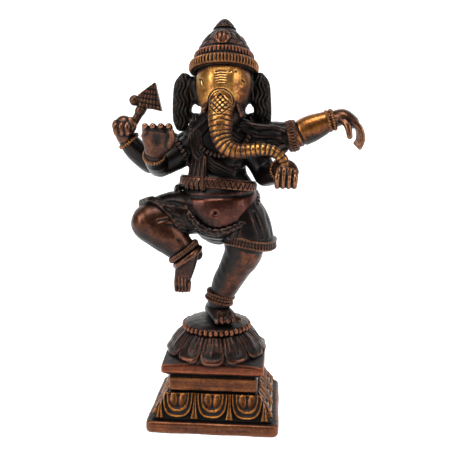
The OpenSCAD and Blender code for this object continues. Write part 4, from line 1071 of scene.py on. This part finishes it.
outline = np.array([[0.6, 93.6], [3.4, 93.4], [7.8, 92.4], [7, 95.4], [6.4, 98.4], [5.6, 101.8],
                    [5, 105], [1, 102.2], [-2.6, 99.6], [-2.4, 96]])
n = len(outline)
front_side = np.column_stack([outline[:, 0] - 31, np.full(n, -3.6), outline[:, 1]])
back_side = np.column_stack([outline[:, 0] - 31, np.full(n, 0.0), outline[:, 1]])
plate_faces = [list(range(n)), list(range(2 * n - 1, n - 1, -1))]
plate_faces += [[(k + 1) % n, k, n + k, n + (k + 1) % n] for k in range(n)]
plate = (np.vstack([front_side, back_side]), plate_faces)
shaft = limb([[-38.8, -1.8, 83, 1.8, 1.8], [-35.2, -1.8, 88.8, 1.8, 1.8],
              [-31.6, -1.8, 94.6, 1.8, 1.8]])
collar = limb([[-33.2, -1.8, 92.4, 2.3, 2.3], [-32.2, -1.8, 94, 2.3, 2.3]])
knob = bead([-35.4, -1.8, 97.2], [0, 0, 1], (2.4, 2.4))
points, squares = fused([plate, shaft, collar, (knob[0], knob[1].tolist())], 0.22, 2)
for k in range(6):
    points = cut_front(points, squares,
                       [[-33.6 + 0.2 * k, 94.6 + 1.9 * k], [-23.4, 92.2 + 2.3 * k]], 0.3, 0.6)
    points = cut_front(points, squares, [[-32.4 + 1.7 * k, 93.4], [-29.6 + 1.0 * k, 103.6]],
                       0.22, 0.35)
axe_gold = patina("axe gold", tint(13, 10, 9), tint(48, 31, 24), tint(104, 66, 46),
                  tint(176, 124, 86), lift=0.02, gloss=0.3)
stand("small_axe", points, squares, axe_gold, "polished_limb", "axe")

# ---- Hair and ears ----
# Black locks behind the head, and two long hanging ears with wavy ridges, all modelled in the
# wax. A gap is left open on each side between the cheek and the ear.


def gap_ring(x, z):
    """Hair round the small open gap between a cheek and an ear."""
    points, squares = ring_band([x, 1.5, z], [0, 1, 0], 4.0, 2.2, around=60)
    return points, squares.tolist()


points, squares = fused([
    limb([[3.6, 3.2, 83.6, 14.2, 5.2], [3.6, 3.4, 86.6, 13.6, 4.6]]),
    limb([[3.8, 3, 102.4, 14.4, 5.6], [3.8, 3, 105, 14.4, 7.2], [3.8, 2.6, 108, 13.2, 8]]),
    limb([[3.8, 5, 86, 8.4, 5], [3.8, 5.4, 94, 7.4, 5], [3.8, 5, 104, 7.4, 5]]),
    limb([[14.8, 1.5, 104, 3.6, 3.6], [14.9, 1.5, 98.4, 3.2, 3.4]]),
    limb([[14.8, 1.5, 87.6, 3.6, 3.6], [14.4, 1.5, 83, 4.4, 4]]),
    limb([[-9.2, 1.5, 104, 4, 3.6], [-8.8, 1.5, 98.8, 3.7, 3.4]]),
    limb([[-8.6, 1.5, 87.4, 4, 3.6], [-8, 1.5, 83, 4.6, 4]]),
    gap_ring(-8.8, 93.4), gap_ring(14.5, 93.4)], 0.36, 3)
lock = np.sin(points[:, 0] * 2.1 + 1.6 * np.sin(points[:, 2] * 0.5))
points = points + outward(points, squares) * (0.32 * lock + wobble(points, 0.2, 3))[:, None]
hair_black = patina("hair black", tint(11, 10, 10), tint(26, 22, 21), tint(58, 46, 40),
                    tint(120, 96, 78), lift=0.0, gloss=0.3, pitted=0.9)
stand("locks_of_hair", points, squares, hair_black, "blackened_brass", "hair")


def ear(name, x, out, lean, node):
    points, squares = fused([limb([
        [x - out * 1.4, 0.5, 107.2, 2.6, 1.6], [x - out * 0.2, 0, 103.6, 3.8, 2.2],
        [x + lean, -0.4, 98.5, 3.9, 2.4],
        [x + 2 * lean, -0.2, 93, 3.9, 2.4], [x + 2.6 * lean, 0.4, 88.5, 3.6, 2.2],
        [x + 2 * lean, 1, 85.8, 2.8, 2.0]])], 0.27, 1)
    from_rim = out * (points[:, 0] - x)
    wave = from_rim + 0.7 * np.sin(points[:, 2] * 0.8)
    ripple = (0.7 * ridge(wave + 1.5, 0.45) + 0.7 * ridge(wave - 0.3, 0.4)
              + 0.6 * ridge(wave - 2.0, 0.4))
    ripple += 0.35 * ridge(np.sin(points[:, 2] * 0.8 + 0.6 * from_rim), 0.25) * (from_rim > 0.4)
    points = points - outward(points, squares) * (ripple * facing_front(points, squares))[:, None]
    stand(name, points, squares, hair_black, "blackened_brass", node)


ear("ear_by_the_axe", -14.6, -1, -0.3, "right_ear")
ear("ear_by_the_stretched_arm", 19.6, 1, 0.3, "left_ear")

# ---- Head and trunk ----
# The face is rubbed to bright gold, with two low swellings on the brow and incised lines: five
# short strokes on the brow, brows and eyes, and a hatched ornament at the root of the trunk.
# The trunk is ringed with cuts all the way to its tip, which curls over the sweet.
trunk_path = [
    [3.8, -11, 97, 6, 4.6], [3.8, -16, 92.4, 5.5, 4.8], [3.8, -18.8, 87.6, 5.1, 4.6],
    [4.2, -20.4, 82.6, 4.3, 4.1], [6.4, -21.6, 78.4, 3.9, 3.8], [10.6, -22.4, 76.5, 3.3, 3.3],
    [15.8, -23, 76.8, 2.8, 2.8], [21, -23.4, 77.3, 2.6, 2.6], [25.6, -23.6, 76.4, 2.5, 2.5],
    [28.8, -23.8, 73.8, 2.3, 2.3], [30, -24, 71.2, 2, 2]]
points, squares = fused([
    limb([[3.8, -6.2, 91, 7.6, 6.8], [3.8, -6, 95.5, 10.4, 9.8], [3.8, -5, 100.5, 11.6, 11],
          [3.8, -4, 105.5, 11.8, 11.2], [3.8, -3, 110, 10.6, 10.4]], sides=44),
    limb(trunk_path, sides=30)], 0.27, 6)
side = points[:, 0] - 3.8
front = facing_front(points, squares)
swell = 0.5 * np.exp(-((np.abs(side) - 4.2) / 3.4) ** 2 - ((points[:, 2] - 106) / 3.6) ** 2)
socket = 0.25 * np.exp(-((np.abs(side) - 8.2) / 2.2) ** 2 - ((points[:, 2] - 102.6) / 2.6) ** 2)
eye = 0.1 * np.exp(-((np.abs(side) - 8.3) / 1.3) ** 2 - ((points[:, 2] - 102.4) / 0.9) ** 2)
points = points + outward(points, squares) * ((swell - socket + eye) * front)[:, None]

centre = curve(trunk_path, 24)[:, :3]
run = np.concatenate([[0], np.cumsum(np.linalg.norm(np.diff(centre, axis=0), axis=1))])
nearest = np.zeros(len(points))
best = np.full(len(points), 1e9)
for k, c in enumerate(centre):
    d = np.linalg.norm(points - c, axis=1)
    closer = d < best
    nearest[closer] = run[k]
    best[closer] = d[closer]
ring_cut = (ridge(((nearest + 0.2 * np.sin(3 * nearest)) % 1.9) - 0.95, 0.3)
            * np.clip((nearest - 7.5) / 1.5, 0, 1) * (best < 7))
points = points - outward(points, squares) * (0.27 * ring_cut)[:, None]

for k in range(5):
    z = 108.6 - 1.05 * k
    points = cut_front(points, squares, [[1.4, z - 0.25], [3.2, z + 0.1], [5.6, z - 0.1]],
                       0.22, 0.4)
for path in ([[-5.8, 105.5], [-4.8, 105.2], [-4.2, 103.6]], [[12.2, 105], [13, 104.2]],
             [[7.1, 108.6], [7.3, 108.6]], [[9.4, 108.6], [9.6, 108.6]]):
    points = cut_front(points, squares, path, 0.3, 0.55)
arch = [[3.4 - 5.4 * np.cos(a), 96.2 + 5.4 * np.sin(a)]
        for a in np.radians(np.linspace(-12, 192, 18))]
inner_arch = [[3.4 - 4.5 * np.cos(a), 96.2 + 4.4 * np.sin(a)]
              for a in np.radians(np.linspace(0, 180, 16))]
points = cut_front(points, squares, arch, 0.24, 0.42)
points = cut_front(points, squares, inner_arch, 0.2, 0.3)
for k in range(5):
    points = cut_front(points, squares, [[-0.8 + 1.15 * k, 95.6 - 1.1 * k],
                                         [3.6 + 1.0 * k, 99.6 - 1.3 * k]], 0.22, 0.42)
    points = cut_front(points, squares, [[7.6 - 1.15 * k, 95.6 - 1.1 * k],
                                         [3.2 - 1.0 * k, 99.6 - 1.3 * k]], 0.22, 0.42)
points = points + outward(points, squares) * wobble(points, 0.1, 2)[:, None]
face_gold = patina("face gold", tint(24, 15, 9), tint(104, 58, 30), tint(196, 140, 70),
                   tint(246, 212, 140), lift=0.21, gloss=0.34, mottle=0.4, pitted=0.4,
                   fade=(sole + 104, sole + 86, -0.2))
# painted shade: the face and trunk are darkened on the side towards the stretched arm, and
# underneath
painted_shade_way["face_and_trunk"] = (0.65, 0.2, -0.5)
stand("face_and_trunk", points, squares, face_gold, "polished_face", "head", "trunk")

for name, node, path in (
        ("whole_tusk", "left_tusk",
         [[10.2, -13, 94.5, 1.6, 1.6], [11.4, -16, 92, 1.3, 1.3], [12, -18.2, 90.6, 0.8, 0.8]]),
        ("broken_tusk", "right_tusk",
         [[-2.6, -13, 94.5, 1.6, 1.6], [-3.4, -15.4, 92.8, 1.4, 1.4]])):
    points, squares = fused([limb(path)], 0.2, 1)
    stand(name, points, squares, cushion_black, "polished_face", node)

# ---- Crown ----
# A tall onion-shaped crown leaning back, in black brass. Two ribbed bands run round it, the lower
# one rubbed to gold. A leaf-shaped boss stands at the front, and a small cone closes the top.
crown_foot = np.array([3.5, -1.4, 108.2])
tilt = np.radians(-15)
crown_top = 19.4


def on_crown(points):
    turn = np.array([[1, 0, 0], [0, np.cos(tilt), np.sin(tilt)], [0, -np.sin(tilt), np.cos(tilt)]])
    return points @ turn + crown_foot


def lathe(profile, count, around, relief=None):
    """A turned solid closed at both ends, with relief(angle, share of the way up) cut into it."""
    points, angle = turned(spread(profile, count), around)
    squares = between(count, around)
    if relief:
        share = np.repeat(np.linspace(0, 1, count), around)
        points = points + outward(points, squares) * relief(np.tile(angle, count), share)[:, None]
    faces = list(squares) + [list(range(around))[::-1],
                             list(range((count - 1) * around, count * around))]
    return points, faces


def crown_relief(angle, share):
    groove = (0.7 * ridge(share - 0.5, 0.016) + 0.5 * ridge(share - 0.62, 0.012)
              + 0.6 * ridge(share - 0.82, 0.014))
    scale = (0.34 * np.abs(np.sin(angle * 13 + np.sin(angle * 4)))
             * np.clip((share - 0.52) / 0.03, 0, 1) * np.clip((0.62 - share) / 0.03, 0, 1))
    leaf = (0.45 * np.abs(np.sin(angle * 7))
            * np.clip((share - 0.63) / 0.04, 0, 1) * np.clip((0.82 - share) / 0.04, 0, 1))
    return scale + leaf - groove


heights = np.linspace(0, 1, 30)
crown_profile = [(4.3 + 8.7 * (1 - t ** 2.2), crown_top * t) for t in heights]
points, faces = lathe([(10, -0.3)] + crown_profile, 130, 560, crown_relief)
crown_black = patina("crown black", tint(13, 11, 11), tint(46, 34, 30), tint(96, 66, 52),
                     tint(170, 122, 92), lift=0.0, gloss=0.32, pitted=0.9)
stand("onion_of_the_crown", on_crown(points), faces, crown_black, "crown_brass", "crown")


def crown_band(height, middle, half_h, half_t, ribs, depth):
    """A rounded band with upright ribs, as (points, squares)."""
    around, sides = 720, 28
    angle = np.arange(around) / around * 2 * np.pi
    face = np.arange(sides) / sides * 2 * np.pi
    rib = depth * (0.5 + 0.5 * np.cos(angle * ribs + 1.5 * np.sin(angle * 5))) ** 2
    squareness = np.sign(np.cos(face)) * np.abs(np.cos(face)) ** 0.6
    r = middle + half_t * squareness[None, :] - rib[:, None] * np.clip(np.cos(face), 0, 1)[None, :]
    z = height + half_h * np.sign(np.sin(face)) * np.abs(np.sin(face)) ** 0.8
    points = np.stack([r * np.cos(angle)[:, None], r * np.sin(angle)[:, None],
                       np.repeat(z[None, :], around, 0)], -1)
    return points.reshape(-1, 3), between(around, sides, closed=True)[:, ::-1]


points, squares = crown_band(2.4, 13.3, 2.1, 1.7, 62, 0.6)
band_gold = patina("crown band gold", tint(15, 11, 9), tint(74, 45, 29), tint(148, 97, 56),
                   tint(222, 168, 106), lift=0.0, gloss=0.3)
stand("lower_band_of_the_crown", on_crown(points), squares, band_gold, "polished_ornament",
      "crown_lower_band")
points, squares = crown_band(6.7, 11.4, 1.8, 1.6, 50, 0.55)
band_brown = patina("crown band brown", tint(14, 11, 10), tint(62, 38, 30), tint(134, 82, 58),
                    tint(204, 144, 104), lift=0.0, gloss=0.32)
stand("upper_band_of_the_crown", on_crown(points), squares, band_brown, "brown_ornament",
      "crown_upper_band")

points, squares = fused([limb([
    [0, 0, -3.2, 2, 1], [0, -0.4, -1, 3.4, 1.6], [0, -0.4, 1.6, 2.8, 1.5],
    [0, 0, 3.8, 1, 0.8]])], 0.2, 1)
points = cut_front(points, squares, [[0, -3.6], [0, 4]], 0.25, 0.4)
for k in (-1, 1):
    points = cut_front(points, squares, [[k * 1.6, -2.6], [k * 2.1, 0], [k * 0.9, 3]], 0.25, 0.35)
lean = np.radians(-28)
points = points @ np.array([[1, 0, 0], [0, np.cos(lean), np.sin(lean)],
                            [0, -np.sin(lean), np.cos(lean)]])
points = on_crown(points + np.array([0, -10.6, 12.4]))
stand("boss_of_the_crown", points, squares, band_brown, "brown_ornament", "crown_medallion")


def cone_relief(angle, share):
    return (0.3 * np.abs(np.sin(angle * 8)) * (share > 0.3) * (1 - share)
            - 0.4 * ridge(share - 0.45, 0.03))


points, faces = lathe([
    (1, crown_top - 0.5), (4.9, crown_top), (4.7, crown_top + 0.5), (3.9, crown_top + 1.6),
    (3.2, crown_top + 2.6), (2.2, crown_top + 3.8), (1, crown_top + 4.7),
    (0.2, crown_top + 4.9)], 60, 160, cone_relief)
stand("cone_of_the_crown", on_crown(points), faces, crown_black, "crown_brass", "crown_finial")

# ---- Wear of the patina, and painted shade ----
# Hands and cloths rub the metal bright where it stands proud, and grooves keep their black
# patina. The corners between pieces are darker, as patina kept there and as painted shade,
# and the undersides and one given side of some pieces are darkened as painted shade. Each
# point of every piece is given this level, for the finishes above to read.
CELL = 0.7
untouched, polished, sunk, corner_patina_and_shade, underside_shade, side_shade = 0.43, 0.27, 0.5, 0.5, 0.14, 0.36
parts = []
for piece in pieces:
    mesh = piece.data
    n = len(mesh.vertices)
    points = np.empty(n * 3)
    mesh.vertices.foreach_get("co", points)
    points = points.reshape(-1, 3) / MM
    normals = np.empty(n * 3)
    mesh.vertex_normals.foreach_get("vector", normals)
    normals = normals.reshape(-1, 3)
    edges = np.empty(len(mesh.edges) * 2, int)
    mesh.edges.foreach_get("vertices", edges)
    a, b = edges.reshape(-1, 2).T
    length = np.linalg.norm(points[a] - points[b], axis=1)
    count = np.maximum(np.bincount(a, minlength=n) + np.bincount(b, minlength=n), 1)
    area = (np.bincount(a, length ** 2, n) + np.bincount(b, length ** 2, n)) / count
    parts.append((piece, points, normals, a, b, length, count, area))

low = np.min([p[1].min(0) for p in parts], axis=0) - 6
shape = tuple(((np.max([p[1].max(0) for p in parts], axis=0) + 6 - low) / CELL).astype(int) + 1)


def cell_of(points):
    i, j, k = np.clip(((points - low) / CELL).astype(int), 0, np.array(shape) - 1).T
    return (i * shape[1] + j) * shape[2] + k


crowd = np.zeros(shape[0] * shape[1] * shape[2])
for piece, points, normals, a, b, length, count, area in parts:
    crowd += np.bincount(cell_of(points), area, len(crowd))
crowd = crowd.reshape(shape)
for _ in range(2):
    for axis in range(3):
        total = crowd.copy()
        for shift in (-1, 1):
            total += np.roll(crowd, shift, axis)
        crowd = total / 3
crowd = crowd.ravel()

for piece, points, normals, a, b, length, count, area in parts:
    n = len(points)
    rounds = int(np.clip(1.4 * (0.9 / np.median(length)) ** 2, 4, 40))
    soft = points.copy()
    for _ in range(rounds):
        total = np.stack([np.bincount(a, soft[b, k], n) + np.bincount(b, soft[a, k], n)
                          for k in range(3)], 1)
        soft += (total / count[:, None] - soft) * 0.5
    proud = ((points - soft) * normals).sum(1)
    near = 0.5 * (crowd[cell_of(points + normals * 1.6)]
                  + crowd[cell_of(points + normals * 2.8)]) / CELL ** 2
    rub = np.tanh(proud / 0.12)
    # where other pieces crowd close the level drops: patina kept in the corners, and painted shade
    # there too
    worn = (untouched + polished * np.maximum(rub, 0) + sunk * np.minimum(rub, 0)
            - corner_patina_and_shade * np.clip((near - 0.1) / 0.55, 0, 1))
    # painted shade: faces that look downwards are darkened
    worn -= underside_shade * np.clip(-normals[:, 2], 0, 1)
    # painted shade: the side of a piece that faces its given way is darkened
    worn -= side_shade * np.clip(normals @ np.array(painted_shade_way.get(piece.name, (0, 0, 0))), 0, 1)
    level = piece.data.attributes.new("worn", "FLOAT", "POINT")
    level.data.foreach_set("value", np.clip(worn, 0, 1).astype(np.float32))

# ---- Studio ----
# A pale floor that sweeps up behind and glows softly, three soft lights in a dim room, and a
# camera a little above the figure's waist.
floor_mesh = bpy.data.meshes.new("floor")
rows = [(-1.2, 0), (0.5, 0), (0.7, 0.02), (0.84, 0.1), (0.9, 0.25), (0.92, 1.6)]
floor_mesh.from_pydata([(x, y, z) for y, z in rows for x in (-2.2, 2.2)], [],
                       [(2 * k, 2 * k + 1, 2 * k + 3, 2 * k + 2) for k in range(len(rows) - 1)])
floor_mesh.polygons.foreach_set("use_smooth", [True] * (len(rows) - 1))
paper = Finish("pale paper")
fibre = paper.node("ShaderNodeTexNoise", {}, {"Scale": 60, "Detail": 3}, "Fac")
paper_tone = paper.node("ShaderNodeValToRGB", {"stops": [(0.0, grey(0.86)), (1.0, grey(0.9))]},
                        {"Fac": fibre})
paper.feed({"Base Color": paper_tone, "Roughness": 0.9, "Specular IOR Level": 0.1,
            "Emission Color": paper_tone, "Emission Strength": 0.85})
floor_mesh.materials.append(paper.material)
floor = bpy.data.objects.new("floor", floor_mesh)
bpy.context.scene.collection.objects.link(floor)


def soft_light(name, at, size, power, aim=(0, 0, 0.1)):
    lamp = bpy.data.lights.new(name, "AREA")
    lamp.shape = "RECTANGLE"
    lamp.size, lamp.size_y = size
    lamp.energy = power
    light = bpy.data.objects.new(name, lamp)
    light.location = at
    light.rotation_euler = (Vector(aim) - Vector(at)).to_track_quat("-Z", "Y").to_euler()
    bpy.context.scene.collection.objects.link(light)


soft_light("left window", (-0.55, -0.4, 0.42), (0.14, 0.5), 3.1)
soft_light("right window", (0.6, -0.25, 0.35), (0.1, 0.5), 2.0)
soft_light("top light", (-0.05, -0.25, 0.85), (0.4, 0.3), 4.0)

world = bpy.data.worlds.new("room")
world.use_nodes = True
world.node_tree.nodes["Background"].inputs["Color"].default_value = (1, 1, 1, 1)
world.node_tree.nodes["Background"].inputs["Strength"].default_value = 0.05
bpy.context.scene.world = world
bpy.context.scene.view_settings.view_transform = "Standard"

lens = bpy.data.cameras.new("camera")
lens.lens = 50.7
lens.sensor_width = 36
lens.clip_start = 0.01
camera = bpy.data.objects.new("camera", lens)
camera.location = (0.0273, -0.2785, 0.1367)
camera.rotation_euler = (np.radians(80.1), 0, np.radians(4.8))
bpy.context.scene.collection.objects.link(camera)
bpy.context.scene.camera = camera
